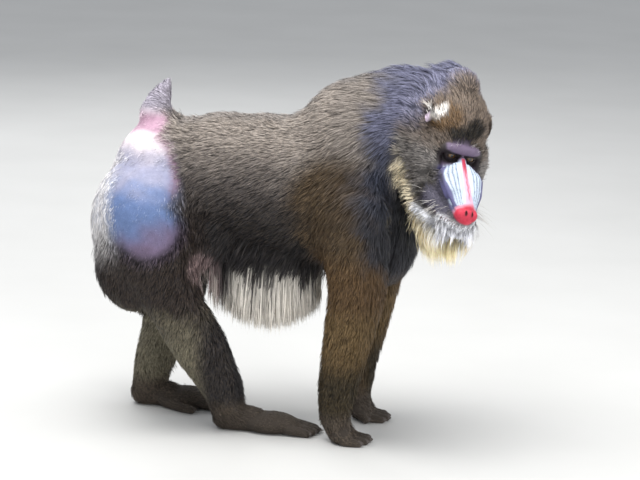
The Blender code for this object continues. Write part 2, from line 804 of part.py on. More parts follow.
def add_coat(node, flesh):
    """Grows the long hair on neck, belly, head and jaw, each clear of its neighbours."""
    surface = BVHTree.FromPolygons(
        [v.co for v in flesh.data.vertices],
        [p.vertices for p in flesh.data.polygons],
    )
    draw = random.Random(7)
    arms = [node["upper_arm_right"], node["upper_arm_left"]]
    legs = [node[n + s] for n in ("thigh_", "shank_") for s in SIDES.values()]
    ears = [node["ear_right"], node["ear_left"]]
    neck, torso, head, jaw = (node[n] for n in ("neck", "torso", "head", "jaw"))
    mantle = mantle_locks(surface, draw) + chest_locks(surface, draw)
    grow_locks(torso, fringe_locks(surface, draw), [neck] + arms + legs)
    grow_locks(neck, mantle, [head, jaw] + arms + ears, [torso])
    grow_locks(head, head_locks(surface, draw), [jaw] + ears, [neck])
    grow_locks(jaw, beard_locks(surface, draw), [], [neck, head])


def material(name, colour, roughness):
    """A plain finish."""
    made = bpy.data.materials.new(name)
    made.use_nodes = True
    shader = made.node_tree.nodes["Principled BSDF"]
    shader.inputs["Base Color"].default_value = (*colour, 1.0)
    shader.inputs["Roughness"].default_value = roughness
    shader.inputs["Metallic"].default_value = 0.0
    made.diffuse_color = (*colour, 1.0)
    return made


def build():
    """Builds and parts the whole animal."""
    body = build_body()
    head_form = build_head()
    combine(body, head_form, "UNION")
    keep_largest(body)
    combine(body, region_box((-1, -1, -1), (1, 1, FLOOR_CUT)), "DIFFERENCE")
    flesh = copy_of(body, "flesh")
    head = part_off(body, "head", region_head)
    jaw = part_off(head, "jaw", region_jaw)
    keep_largest(head)
    nodes = [head, jaw] + part_limbs(body)
    boxes = {
        "tail": ((-0.33, -0.1, TAIL_Z), (-0.17, 0.1, 0.8)),
        "rump": ((-0.6, -0.4, 0.1), (RUMP_X, 0.4, 0.9)),
        "neck": ((NECK_X, -0.4, 0.05), (0.6, 0.4, 0.9)),
    }
    for name, (low, high) in boxes.items():
        nodes.append(part_off(body, name, lambda grow: region_box(low, high, grow)))
    body.name = "torso"
    nodes.append(keep_largest(body))
    for side in (RIGHT, LEFT):
        nodes.append(build_eye(side))
        nodes.append(build_ear(side, flesh))
    add_coat({node.name: node for node in nodes}, flesh)
    bpy.data.objects.remove(flesh)
    return nodes


def settle(nodes):
    """Moves the animal so that its box stands centred on the origin, on the floor."""
    low = Vector((1e9, 1e9, 1e9))
    high = -low
    for node in nodes:
        for vertex in node.data.vertices:
            low = Vector(map(min, low, vertex.co))
            high = Vector(map(max, high, vertex.co))
    shift = Vector((-(low.x + high.x) / 2, -(low.y + high.y) / 2, -low.z))
    for node in nodes:
        node.data.transform(Matrix.Translation(shift))


def main():
    """Builds the animal."""
    for obj in list(bpy.data.objects):
        bpy.data.objects.remove(obj)
    home = bpy.data.collections.new("mandrill")
    bpy.context.scene.collection.children.link(home)
    nodes = build()
    settle(nodes)
    for node in nodes:
        key = next(k for k in FINISHES if node.name.startswith(k))
        node.data.materials.clear()
        node.data.materials.append(material(node.name + "_finish", *FINISHES[key]))
        for group in list(node.users_collection):
            group.objects.unlink(node)
        home.objects.link(node)


main()
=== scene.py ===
"""Adult male mandrill, life size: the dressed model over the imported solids.

Metres, +Z up, +X the way the body faces, +Y the animal's left side. Masses are given in the
animal's own frame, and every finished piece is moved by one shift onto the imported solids.
"""

import logging
import math
from collections.abc import Sequence
from dataclasses import dataclass, field
from enum import Enum

import bmesh
import bpy
import numpy as np
from mathutils import Matrix, Vector
from mathutils.bvhtree import BVHTree
from mathutils.kdtree import KDTree


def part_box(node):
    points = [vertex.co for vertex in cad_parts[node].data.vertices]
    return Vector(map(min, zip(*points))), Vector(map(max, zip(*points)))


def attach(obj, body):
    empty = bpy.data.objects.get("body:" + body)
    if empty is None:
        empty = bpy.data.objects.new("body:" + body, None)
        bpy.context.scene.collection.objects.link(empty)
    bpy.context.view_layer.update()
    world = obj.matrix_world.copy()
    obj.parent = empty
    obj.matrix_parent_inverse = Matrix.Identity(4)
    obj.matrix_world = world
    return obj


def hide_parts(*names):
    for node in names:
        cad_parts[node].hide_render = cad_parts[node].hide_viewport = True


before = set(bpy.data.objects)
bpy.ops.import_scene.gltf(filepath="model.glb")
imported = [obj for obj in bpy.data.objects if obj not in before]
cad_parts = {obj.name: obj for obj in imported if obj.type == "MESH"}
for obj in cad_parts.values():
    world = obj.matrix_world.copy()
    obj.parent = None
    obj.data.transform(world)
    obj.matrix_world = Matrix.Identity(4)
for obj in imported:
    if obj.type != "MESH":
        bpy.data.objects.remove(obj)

LOG = logging.getLogger("mandrill")
Array = np.ndarray
Triple = tuple[float, float, float]
Station = tuple[Triple, float]

# The skin starts this far above the floor, and no hair reaches lower than the second height.
GROUND = 0.0025
HAIR_GROUND = 0.0027
# Side of the small square that each hair takes up on the map of the skin.
PATCH = 0.003


class Side(Enum):
    """The two sides of the animal, as the sign of Y."""

    RIGHT = -1
    LEFT = 1


def unit(v: Array) -> Array:
    """Rows of v at length one."""
    return v / np.maximum(np.linalg.norm(v, axis=-1, keepdims=True), 1e-9)


def step(low: float, high: float, x: Array) -> Array:
    """Smooth step from 0 at low to 1 at high."""
    t = np.clip((x - low) / (high - low), 0.0, 1.0)
    return t * t * (3 - 2 * t)


def blob(p: Array, centre: tuple, radii: tuple) -> Array:
    """Soft mask that is 1 at the centre and fades to 0 beyond the radii."""
    d = np.sqrt((((p - np.array(centre)) / np.array(radii)) ** 2).sum(1))
    return 1 - step(0.7, 1.15, d)


def mix(a: Array, b: Array | tuple, mask: Array) -> Array:
    """a where the mask is 0 and b where it is 1."""
    return a + (np.asarray(b) - a) * mask[:, None]


def waves(p: Array, scale: float, seed: int) -> Array:
    """Cheap smooth noise between about -1 and 1, as a sum of sines in random directions.

    Args:
        p: points, one a row.
        scale: typical size of a patch, in metres.
        seed: fixes the directions.

    Returns:
        One value for each point.
    """
    draw = np.random.default_rng(seed)
    total = np.zeros(len(p))
    for octave in range(6):
        way = unit(draw.normal(size=(1, 3)))[0] * (2 * math.pi / scale) * (0.7 + 0.22 * octave)
        total += np.sin(p @ way + draw.uniform(0, 6.28) + 1.3 * np.sin(p @ way[[1, 2, 0]] * 0.7))
    return total / 3.2


def folded(p: Array) -> Array:
    """Points with the right side mirrored onto the left."""
    return np.stack([p[:, 0], np.abs(p[:, 1]), p[:, 2]], 1)


def layered(p: Array, base: Array | tuple, *layers: tuple[Array | tuple, Array]) -> Array:
    """A colour for each point of p: the base, with each (colour, mask) laid over it in turn."""
    colour = np.tile(np.array(base), (len(p), 1)) if np.ndim(base) == 1 else base
    for over, mask in layers:
        colour = mix(colour, over, mask)
    return colour


def placed(name: str, data: bpy.types.ID) -> bpy.types.Object:
    """A new object of the scene that holds the data."""
    obj = bpy.data.objects.new(name, data)
    bpy.context.scene.collection.objects.link(obj)
    return obj


def from_bmesh(name: str, bm: bmesh.types.BMesh) -> bpy.types.Object:
    """A new object with the mesh that bm holds. bm is freed."""
    mesh = bpy.data.meshes.new(name)
    bm.to_mesh(mesh)
    bm.free()
    return placed(name, mesh)


@dataclass(frozen=True)
class HeadPose:
    """Where the head sits and how it is turned. Its own frame has +X out of the face."""

    centre: Triple = (0.291, -0.030, 0.566)
    yaw: float = -63.0
    pitch: float = 14.0
    roll: float = -13.5
    reach_centre: Triple = (0.122, 0.0, 0.0)
    reach: Triple = (0.190, 0.118, 0.210)

    def matrix(self) -> Matrix:
        """The head's frame in the animal's frame."""
        turn = Matrix.Identity(4)
        for angle, axis in ((self.yaw, "Z"), (self.pitch, "Y"), (self.roll, "X")):
            turn = turn @ Matrix.Rotation(math.radians(angle), 4, axis)
        return Matrix.Translation(self.centre) @ turn

    def local(self, p: Array) -> Array:
        """Points of the animal's frame in the head's frame."""
        m = np.array(self.matrix().inverted())
        return p @ m[:3, :3].T + m[:3, 3]

    def turned(self, v: Array) -> Array:
        """Directions of the head's frame in the animal's frame."""
        return v @ np.array(self.matrix())[:3, :3].T

    def share(self, h: Array) -> Array:
        """1 inside the head, 0 outside it, for points of the head's frame."""
        d = np.sqrt((((h - np.array(self.reach_centre)) / np.array(self.reach)) ** 2).sum(1))
        return 1 - step(0.94, 1.10, d)


POSE = HeadPose()


class Masses:
    """Round masses and tapered limbs that are fused into one closed skin."""

    def __init__(self) -> None:
        """Starts empty."""
        self.bm = bmesh.new()

    def ball(self, centre: tuple, radii: tuple | float, turn: float = 0.0, detail: int = 4) -> None:
        """Adds an ellipsoid, turned about its own Y axis by so many degrees."""
        radii = (radii,) * 3 if isinstance(radii, (int, float)) else radii
        place = Matrix.Translation(centre) @ Matrix.Rotation(math.radians(turn), 4, "Y")
        place = place @ Matrix.Diagonal((*radii, 1.0))
        bmesh.ops.create_icosphere(self.bm, subdivisions=detail, radius=1.0, matrix=place)

    def limb(self, stations: Sequence[Station], segments: int = 32) -> None:
        """Adds balls joined by cones, through (point, radius) stations."""
        for point, radius in stations:
            self.ball(point, radius, detail=3 if radius < 0.02 else 4)
        for (low, low_r), (high, high_r) in zip(stations, stations[1:]):
            along = Vector(high) - Vector(low)
            turn = along.to_track_quat("Z", "Y").to_matrix().to_4x4()
            place = Matrix.Translation((Vector(high) + Vector(low)) / 2) @ turn
            bmesh.ops.create_cone(
                self.bm,
                cap_ends=True,
                segments=segments,
                radius1=low_r,
                radius2=high_r,
                depth=along.length,
                matrix=place,
            )

    def made(self, name: str) -> bpy.types.Object:
        """The masses as an object, still overlapping."""
        return from_bmesh(name, self.bm)

    def fused(self, name: str, voxel: float, smoothing: int) -> bpy.types.Object:
        """The masses fused by a voxel remesh and smoothed at the joins."""
        obj = self.made(name)
        remesh = obj.modifiers.new("fuse", "REMESH")
        remesh.mode = "VOXEL"
        remesh.voxel_size = voxel
        ease = obj.modifiers.new("ease", "SMOOTH")
        ease.factor = 0.5
        ease.iterations = smoothing
        return applied(obj)


def applied(obj: bpy.types.Object) -> bpy.types.Object:
    """Replaces an object's mesh by what its modifiers make of it."""
    graph = bpy.context.evaluated_depsgraph_get()
    mesh = bpy.data.meshes.new_from_object(obj.evaluated_get(graph))
    obj.modifiers.clear()
    obj.data = mesh
    return obj


def combined(obj: bpy.types.Object, other: bpy.types.Object, operation: str) -> bpy.types.Object:
    """Applies one Boolean between two closed objects, and removes the second.

    Args:
        obj: the object that is changed.
        other: the object it is joined with or cut by.
        operation: UNION, DIFFERENCE or INTERSECT.

    Returns:
        The first object.
    """
    cut = obj.modifiers.new("part", "BOOLEAN")
    cut.operation = operation
    cut.object = other
    cut.solver = "MANIFOLD"
    applied(obj)
    bpy.data.objects.remove(other)
    return obj


@dataclass
class Body:
    """The trunk, limbs, hands and feet, with the short coat included in the radii."""

    core_drop: float = 0.009
    arms: dict[Side, list[Station]] = field(
        default_factory=lambda: {
            Side.RIGHT: [
                ((0.140, -0.112, 0.430), 0.066),
                ((0.149, -0.120, 0.290), 0.052),
                ((0.130, -0.110, 0.190), 0.044),
                ((0.115, -0.100, 0.113), 0.037),
                ((0.108, -0.090, 0.052), 0.029),
            ],
            Side.LEFT: [
                ((0.140, 0.112, 0.430), 0.066),
                ((0.145, 0.120, 0.285), 0.052),
                ((0.132, 0.102, 0.185), 0.043),
                ((0.121, 0.090, 0.112), 0.036),
                ((0.118, 0.080, 0.052), 0.029),
            ],
        }
    )
    legs: dict[Side, list[Station]] = field(
        default_factory=lambda: {
            Side.RIGHT: [
                ((-0.250, -0.078, 0.410), 0.086),
                ((-0.230, -0.090, 0.320), 0.075),
                ((-0.190, -0.098, 0.240), 0.051),
                ((-0.143, -0.088, 0.160), 0.050),
                ((-0.106, -0.068, 0.085), 0.038),
                ((-0.098, -0.060, 0.045), 0.033),
            ],
            Side.LEFT: [
                ((-0.250, 0.078, 0.410), 0.086),
                ((-0.240, 0.090, 0.320), 0.075),
                ((-0.232, 0.096, 0.238), 0.057),
                ((-0.250, 0.088, 0.155), 0.048),
                ((-0.272, 0.080, 0.088), 0.038),
                ((-0.280, 0.075, 0.045), 0.033),
            ],
        }
    )
    tail: list[Station] = field(
        default_factory=lambda: [
            ((-0.246, 0.0, 0.540), 0.040),
            ((-0.254, 0.0, 0.577), 0.033),
            ((-0.249, 0.0, 0.603), 0.0245),
            ((-0.238, 0.0, 0.627), 0.0135),
            ((-0.229, 0.0, 0.641), 0.0075),
        ]
    )
    tips: list[Vector] = field(default_factory=list)

    def trunk(self, m: Masses) -> None:
        """The trunk from pelvis to withers, the hips, and the core of neck and chest."""
        for centre, radii in (
            ((-0.228, 0, 0.452), (0.108, 0.100, 0.125)),
            ((-0.120, 0, 0.470), (0.130, 0.100, 0.117)),
            ((-0.045, 0, 0.460), (0.150, 0.112, 0.128)),
            ((0.030, 0, 0.452), (0.150, 0.120, 0.141)),
            ((0.095, 0, 0.500), (0.110, 0.105, 0.135)),
            ((-0.040, 0, 0.315), (0.110, 0.070, 0.070)),
        ):
            m.ball(centre, radii)
        for side in Side:
            s = side.value
            m.ball((-0.268, s * 0.058, 0.380), (0.094, 0.066, 0.125))
            m.ball((-0.270, s * 0.078, 0.302), (0.078, 0.055, 0.085), turn=-25)
            m.ball((-0.150, s * 0.054, 0.352), (0.060, 0.034, 0.056))
            m.ball((0.120, s * 0.095, 0.440), (0.075, 0.058, 0.110))
        d = self.core_drop
        m.limb([((0.074, 0, 0.514), 0.100), ((0.130, 0, 0.545), 0.128 - d)])
        for centre, radii in (
            ((0.165, 0, 0.556), (0.120, 0.108, 0.130)),
            ((0.205, 0, 0.570), (0.115, 0.094, 0.130)),
            ((0.243, -0.002, 0.586), (0.098, 0.072, 0.112)),
            ((0.175, 0, 0.400), (0.080, 0.085, 0.130)),
        ):
            m.ball(centre, tuple(radius - d for radius in radii))

    def digit(self, m: Masses, *path: Station) -> None:
        """One finger or toe with its knuckles, noting where its nail goes."""
        m.limb(path, segments=16)
        (low, _), (high, radius) = path[-2:]
        self.tips.append(Vector(high))
        middle = (Vector(low) * 0.55 + Vector(high) * 0.45) + Vector((0, 0, 0.0012))
        m.ball(tuple(middle), radius * 1.08, detail=3)

    def foot(self, m: Masses, side: Side, heel: tuple, toes_x: float) -> None:
        """A long flat foot with four toes and an inner grasping toe."""
        hx, hy, hz = heel
        s = side.value
        m.limb([((hx, hy, hz), 0.026), ((hx + 0.05, hy, 0.024), 0.024)])
        m.ball((hx + 0.085, hy + s * 0.002, 0.020), (0.055, 0.034, 0.021))
        for k, reach in enumerate((0.012, 0.004, 0.0, 0.008)):
            y = hy + s * (0.024 - 0.0165 * k)
            root = ((hx + 0.105, hy + (y - hy) * 0.7, 0.018), 0.012)
            middle = ((toes_x - 0.030 - reach, y, 0.014), 0.0095)
            self.digit(m, root, middle, ((toes_x - reach, y, 0.009), 0.0075))
        root = ((hx + 0.045, hy - s * 0.022, 0.016), 0.012)
        middle = ((hx + 0.085, hy - s * 0.046, 0.011), 0.009)
        self.digit(m, root, middle, ((hx + 0.105, hy - s * 0.052, 0.009), 0.0075))

    def hand(self, m: Masses, side: Side) -> None:
        """A hand that stands on its flat fingers with the palm raised."""
        wx, wy, wz = self.arms[side][-1][0]
        s = side.value
        m.limb([((wx, wy, wz), 0.028), ((wx + 0.008, wy, 0.030), 0.025)])
        m.ball((wx + 0.014, wy, 0.020), (0.024, 0.032, 0.020))
        for k, reach in enumerate((0.012, 0.003, 0.0, 0.006)):
            y = wy + s * (0.026 - 0.0172 * k)
            root = ((wx + 0.022, wy + (y - wy) * 0.8, 0.020), 0.0115)
            middle = ((wx + 0.034 - reach, y, 0.011), 0.0090)
            self.digit(m, root, middle, ((wx + 0.062 - reach, y, 0.0075), 0.0070))
        root = ((wx + 0.006, wy - s * 0.024, 0.024), 0.010)
        self.digit(m, root, ((wx + 0.028, wy - s * 0.040, 0.010), 0.0075))

    def build(self) -> bpy.types.Object:
        """The whole body without the head."""
        m = Masses()
        self.trunk(m)
        for side in Side:
            m.limb(self.arms[side])
            m.limb(self.legs[side])
        m.limb(self.tail)
        trunk = m.fused("trunk", 0.005, 18)
        m = Masses()
        m.bm.from_mesh(trunk.data)
        bpy.data.objects.remove(trunk)
        for side in Side:
            self.hand(m, side)
        self.foot(m, Side.RIGHT, (-0.102, -0.056, 0.027), 0.068)
        self.foot(m, Side.LEFT, (-0.290, 0.073, 0.027), -0.116)
        return m.fused("body", 0.0030, 4)


@dataclass
class Head:
    """Skull, muzzle, lips, lids and ears, in the head's own frame."""

    eye_radius: float = 0.0105
    eye_place: Triple = (0.068, 0.0185, -0.003)
    ear_place: Triple = (0.022, 0.062, 0.049)
    ear_scale: float = 0.82
    ear_lean: tuple[float, float] = (-12.0, 14.0)
    far_ear_tuck: Triple = (0.0, -0.010, -0.006)
    nostril_place: Triple = (0.189, 0.0060, -0.0625)
    mouth_height: float = -0.106
    mouth_slope: float = 0.0787
    muzzle_top: Vector = field(default_factory=lambda: Vector((0.088, 0.0, 0.000)))
    nose_top: Vector = field(default_factory=lambda: Vector((0.183, 0.0, -0.051)))
    lobes: int = 4
    voxel: float = 0.0015

    def ridge(self, share: float, side: int, out: float, lift: float) -> tuple:
        """A point by its share of the muzzle's length, its distance aside and its height."""
        slope = (self.nose_top - self.muzzle_top).normalized()
        raised = Vector((-slope.z, 0.0, slope.x))
        reach = (self.nose_top - self.muzzle_top).length * share
        return tuple(self.muzzle_top + slope * reach + raised * lift + Vector((0, side * out, 0)))

    def muzzle_share(self, h: Array) -> tuple[Array, Array, Array]:
        """Share along the muzzle, distance aside and height over its line, for head points."""
        slope = np.array((self.nose_top - self.muzzle_top).normalized())
        raised = np.array((-slope[2], 0.0, slope[0]))
        q = h - np.array(self.muzzle_top)
        length = (self.nose_top - self.muzzle_top).length
        return q @ slope / length, np.abs(h[:, 1]), q @ raised

    def lobe_share(self, u: Array, out: Array) -> Array:
        """0 on the innermost long ridge of the muzzle's side and 1 on the outermost."""
        near = np.interp(u, (0.1, 0.32, 0.62, 0.93), (0.0115, 0.0120, 0.0115, 0.0095))
        wide = np.interp(u, (0.1, 0.32, 0.62, 0.93), (0.0160, 0.0240, 0.0175, 0.0080))
        return (out - near) / wide

    def mouth_line(self, h: Array, width: float) -> Array:
        """1 where the lips meet, fading over the given width, for points of the head's frame."""
        line = self.mouth_height + self.mouth_slope * h[:, 0]
        return np.exp(-(((h[:, 2] - line) / width) ** 2))

    def skull(self, m: Masses) -> None:
        """Cranium, crown, brow ridge and the face round the eye sockets."""
        for centre, radii in (
            ((-0.008, 0, 0.028), (0.084, 0.066, 0.072)),
            ((-0.027, 0, 0.080), (0.055, 0.038, 0.048)),
            ((-0.072, 0, 0.068), (0.051, 0.041, 0.051)),
            ((-0.060, 0, 0.010), (0.060, 0.065, 0.070)),
            ((0.045, 0, 0.010), (0.036, 0.044, 0.030)),
            ((0.040, 0, -0.020), (0.036, 0.044, 0.036)),
        ):
            m.ball(centre, radii)
        half = [((0.064, 0.037, 0.003), 0.0090), ((0.078, 0.016, 0.012), 0.0098)]
        mirrored = [((x, -y, z), r) for (x, y, z), r in half]
        m.limb(mirrored + half[::-1])
        for side in Side:
            s = side.value
            outer = [((0.064, s * 0.037, 0.003), 0.009), ((0.060, s * 0.043, -0.012), 0.011)]
            m.limb(outer + [((0.070, s * 0.040, -0.030), 0.014)])

    def muzzle(self, m: Masses) -> None:
        """The long muzzle with its raised mid-line, side ridges, nose, lips and lower jaw."""
        core = [((0.055, 0, -0.045), 0.040), ((0.100, 0, -0.057), 0.034)]
        m.limb(core + [((0.145, 0, -0.076), 0.027), ((0.164, 0, -0.084), 0.021)])
        middle = ((0.0, 0.008), (0.35, 0.008), (0.7, 0.009), (0.93, 0.012))
        m.limb([(self.ridge(share, 0, 0, -r), r) for share, r in middle])
        for side in Side:
            s = side.value
            for lobe in range(self.lobes):
                a = lobe / (self.lobes - 1)
                drop = 0.004 * a * a
                r = 0.0074 - 0.0012 * a
                stations = [
                    (self.ridge(0.10 + 0.10 * a, s, 0.0115 + 0.016 * a, -0.010 - drop), r * 0.8),
                    (self.ridge(0.32, s, 0.0120 + 0.024 * a, -0.0075 - 2.4 * drop), r),
                    (self.ridge(0.62, s, 0.0115 + 0.0175 * a, -0.0085 - 2 * drop), r * 0.95),
                    (self.ridge(0.93, s, 0.0095 + 0.008 * a, -0.0130 - 2 * drop), r * 0.55),
                ]
                m.limb(stations, segments=16)
            flank = [(self.ridge(0.25, s, 0.025, -0.024), 0.017)]
            m.limb(flank + [(self.ridge(0.6, s, 0.021, -0.024), 0.014)])
            m.ball((0.176, s * 0.0105, -0.070), (0.0125, 0.0100, 0.0115))
            upper = (
                (0.168, 0.009, -0.090, 0.0120),
                (0.140, 0.024, -0.090, 0.0150),
                (0.095, 0.034, -0.084, 0.0190),
                (0.060, 0.038, -0.070, 0.0220),
            )
            lower = (
                (0.158, 0.009, -0.112, 0.0110),
                (0.115, 0.025, -0.117, 0.0170),
                (0.060, 0.038, -0.115, 0.0250),
                (0.020, 0.044, -0.092, 0.0300),
            )
            for lip in (upper, lower):
                m.limb([((x, s * y, z), r) for x, y, z, r in lip])
        m.ball((0.180, 0, -0.072), (0.0105, 0.0120, 0.0155))
        m.limb([((0.166, 0, -0.092), 0.012), ((0.060, 0, -0.090), 0.030)])
        jaw = [((0.158, 0, -0.112), 0.011), ((0.110, 0, -0.114), 0.020)]
        m.limb(jaw + [((0.050, 0, -0.105), 0.032)])

    def cheeks(self, m: Masses) -> None:
        """The cheeks, with the core under the ruff."""
        for side in Side:
            s = side.value
            m.ball((0.026, s * 0.044, -0.032), (0.046, 0.032, 0.054))
            m.ball((-0.024, s * 0.052, -0.026), (0.043, 0.028, 0.059), turn=15)

    def ear_place_of(self, side: Side) -> Matrix:
        """The ear's own place in the head's frame."""
        back, out = (math.radians(angle) for angle in self.ear_lean)
        lean = Matrix.Rotation(back, 4, "Y") @ Matrix.Rotation(out, 4, "Z")
        tuck = Vector(self.far_ear_tuck) if side is Side.LEFT else Vector()
        place = Matrix.Translation(Vector(self.ear_place) + tuck) @ lean
        place = place @ Matrix.Scale(self.ear_scale, 4)
        return Matrix.Diagonal((1, side.value, 1, 1)) @ place

    def ears(self, m: Masses) -> None:
        """The shells of both small bare ears."""
        for side in Side:
            place = self.ear_place_of(side)
            for centre, radii in (
                ((0, 0, 0), (0.0200, 0.0085, 0.0250)),
                ((0.006, -0.010, -0.006), (0.0120, 0.0110, 0.0160)),
            ):
                shape = place @ Matrix.Translation(centre) @ Matrix.Diagonal((*radii, 1.0))
                bmesh.ops.create_icosphere(m.bm, subdivisions=4, radius=1.0, matrix=shape)

    def cut_balls(self, head: bpy.types.Object, balls: list[tuple], operation: str) -> None:
        """Joins or cuts the same ellipsoids on both sides of the head."""
        for side in Side:
            for (x, y, z), radii, turn in balls:
                m = Masses()
                m.ball((x, side.value * y, z), radii, turn=turn, detail=5)
                combined(head, m.made("tool"), operation)

    def groove(self, head: bpy.types.Object) -> None:
        """Presses in the line of the mouth and the grooves between the muzzle's ridges."""
        co, _, normal = arrays(head)
        mouth = self.mouth_line(co, 0.0016) * step(0.072, 0.085, co[:, 0])
        u, out, lift = self.muzzle_share(co)
        share = self.lobe_share(u, out) * (self.lobes - 1)
        between = 0.5 - 0.5 * np.cos(2 * math.pi * share)
        zone = step(0.02, 0.16, u) * (1 - step(0.86, 0.98, u)) * step(-0.2, 0.1, share)
        zone *= (1 - step(self.lobes - 0.9, self.lobes - 0.4, share)) * step(-0.030, -0.024, lift)
        wrinkle = waves(co, 0.006, 5) * 0.00012
        push = 0.0030 * mouth + 0.0011 * between * zone + wrinkle
        co -= normal * push[:, None]
        head.data.vertices.foreach_set("co", co.astype(np.float32).ravel())

    def build(self) -> bpy.types.Object:
        """The head with lids, eye openings, nostrils, ear cups and mouth, set on the neck."""
        m = Masses()
        self.skull(m)
        self.muzzle(m)
        self.cheeks(m)
        self.ears(m)
        head = m.fused("head_form", self.voxel, 3)
        x, y, z = self.eye_place
        self.cut_balls(head, [((x, y, z), self.eye_radius * 1.22, 0)], "UNION")
        socket = ((x, y, z), self.eye_radius + 0.0004, 0)
        lids = ((x + 0.014, y + 0.001, z), (0.012, 0.0084, 0.0036), 0)
        self.cut_balls(head, [socket, lids], "DIFFERENCE")
        nostril = (self.nostril_place, (0.0055, 0.0018, 0.0048), 35)
        self.cut_balls(head, [nostril], "DIFFERENCE")
        for side in Side:
            cup = Masses()
            cup.ball((0.0030, 0.0085, 0.0015), (0.0145, 0.0085, 0.0185), detail=5)
            tool = cup.made("cup")
            tool.data.transform(self.ear_place_of(side))
            if side is Side.RIGHT:
                tool.data.flip_normals()
            combined(head, tool, "DIFFERENCE")
        self.groove(head)
        head.data.transform(POSE.matrix())
        return head


def arrays(obj: bpy.types.Object) -> tuple[Array, Array, Array]:
    """Places, triangles and vertex normals of a mesh object.

    Args:
        obj: a mesh object without modifiers.

    Returns:
        Vertices (n, 3), triangles (m, 3) and normals (n, 3).
    """
    mesh = obj.data
    mesh.calc_loop_triangles()
    co = np.empty(len(mesh.vertices) * 3)
    mesh.vertices.foreach_get("co", co)
    tris = np.empty(len(mesh.loop_triangles) * 3, np.int32)
    mesh.loop_triangles.foreach_get("vertices", tris)
    co, tris = co.reshape(-1, 3), tris.reshape(-1, 3)
    face = np.cross(co[tris[:, 1]] - co[tris[:, 0]], co[tris[:, 2]] - co[tris[:, 0]])
    normal = np.zeros_like(co)
    for k in range(3):
        np.add.at(normal, tris[:, k], face)
    return co, tris, unit(normal)


@dataclass(frozen=True)
class Zone:
    """How the coat grows round one place: lie, length, rise above the skin, width and cover."""

    centre: Triple
    radius: float
    aim: Triple
    length: float
    rise: float
    width: float
    cover: float = 1.0


BODY_ZONES = (
    Zone((0.04, 0.02, 0.60), 0.11, (-1, 0, -0.05), 0.024, 0.006, 0.0012),
    Zone((-0.12, 0.02, 0.58), 0.11, (-1, 0, -0.10), 0.022, 0.0055, 0.0012),
    Zone((-0.25, 0.03, 0.57), 0.07, (-0.8, 0, -0.35), 0.018, 0.004, 0.0014),
    Zone((-0.05, 0.11, 0.46), 0.12, (-0.85, 0, -0.55), 0.026, 0.007, 0.0012),
    Zone((0.12, 0.12, 0.46), 0.08, (-0.50, 0, -0.90), 0.028, 0.007, 0.0012),
    Zone((0.14, 0.13, 0.33), 0.07, (-0.20, 0, -1.0), 0.023, 0.006, 0.0012),
    Zone((0.12, 0.11, 0.18), 0.08, (-0.30, 0, -1.0), 0.021, 0.0055, 0.0014),
    Zone((0.11, 0.09, 0.06), 0.035, (0.2, 0, -1.0), 0.011, 0.0022, 0.0011),
    Zone((0.16, 0.085, 0.015), 0.035, (1.0, 0, -0.25), 0.0045, 0.0006, 0.0007, 0.5),
    Zone((-0.22, 0.10, 0.36), 0.09, (-0.40, 0, -0.95), 0.022, 0.0055, 0.0012),
    Zone((-0.20, 0.10, 0.22), 0.08, (-0.30, 0, -1.0), 0.021, 0.005, 0.0014),
    Zone((-0.14, 0.08, 0.13), 0.06, (-0.1, 0, -1.0), 0.018, 0.0045, 0.0014),
    Zone((-0.27, 0.08, 0.13), 0.06, (-0.15, 0, -1.0), 0.018, 0.0045, 0.0014),
    Zone((-0.10, 0.06, 0.05), 0.03, (0.5, 0, -0.7), 0.010, 0.0018, 0.0010),
    Zone((-0.28, 0.07, 0.05), 0.03, (0.5, 0, -0.7), 0.010, 0.0018, 0.0010),
    Zone((0.00, 0.06, 0.015), 0.06, (1.0, 0, -0.2), 0.0045, 0.0006, 0.0007, 0.5),
    Zone((-0.20, 0.075, 0.015), 0.06, (1.0, 0, -0.2), 0.0045, 0.0006, 0.0007, 0.5),
    Zone((-0.34, 0.06, 0.40), 0.07, (-0.25, 0.1, -1.0), 0.026, 0.006, 0.0013),
    Zone((-0.33, 0.08, 0.27), 0.06, (-0.3, 0.1, -1.0), 0.026, 0.006, 0.0014),
    Zone((-0.03, 0.04, 0.29), 0.08, (-0.2, 0, -1.0), 0.060, 0.010, 0.0018),
    Zone((0.17, 0.10, 0.52), 0.08, (-0.85, 0, -0.70), 0.030, 0.009, 0.0011),
    Zone((0.17, 0.0, 0.68), 0.08, (-1.0, 0, 0.0), 0.029, 0.008, 0.0011),
    Zone((0.24, 0.05, 0.60), 0.07, (-0.95, 0.1, -0.2), 0.028, 0.008, 0.0011),
    Zone((0.24, 0.03, 0.42), 0.08, (-0.15, 0, -1.0), 0.033, 0.010, 0.0012),
    Zone((-0.25, 0.0, 0.64), 0.045, (0.15, 0, 1.0), 0.010, 0.002, 0.0009),
)
RUFF_EDGE = [
    ((-0.020, 0.083, 0.010), 0.010),
    ((0.000, 0.082, -0.055), 0.013),
    ((0.060, 0.060, -0.100), 0.010),
    ((0.088, 0.050, -0.112), 0.006),
]
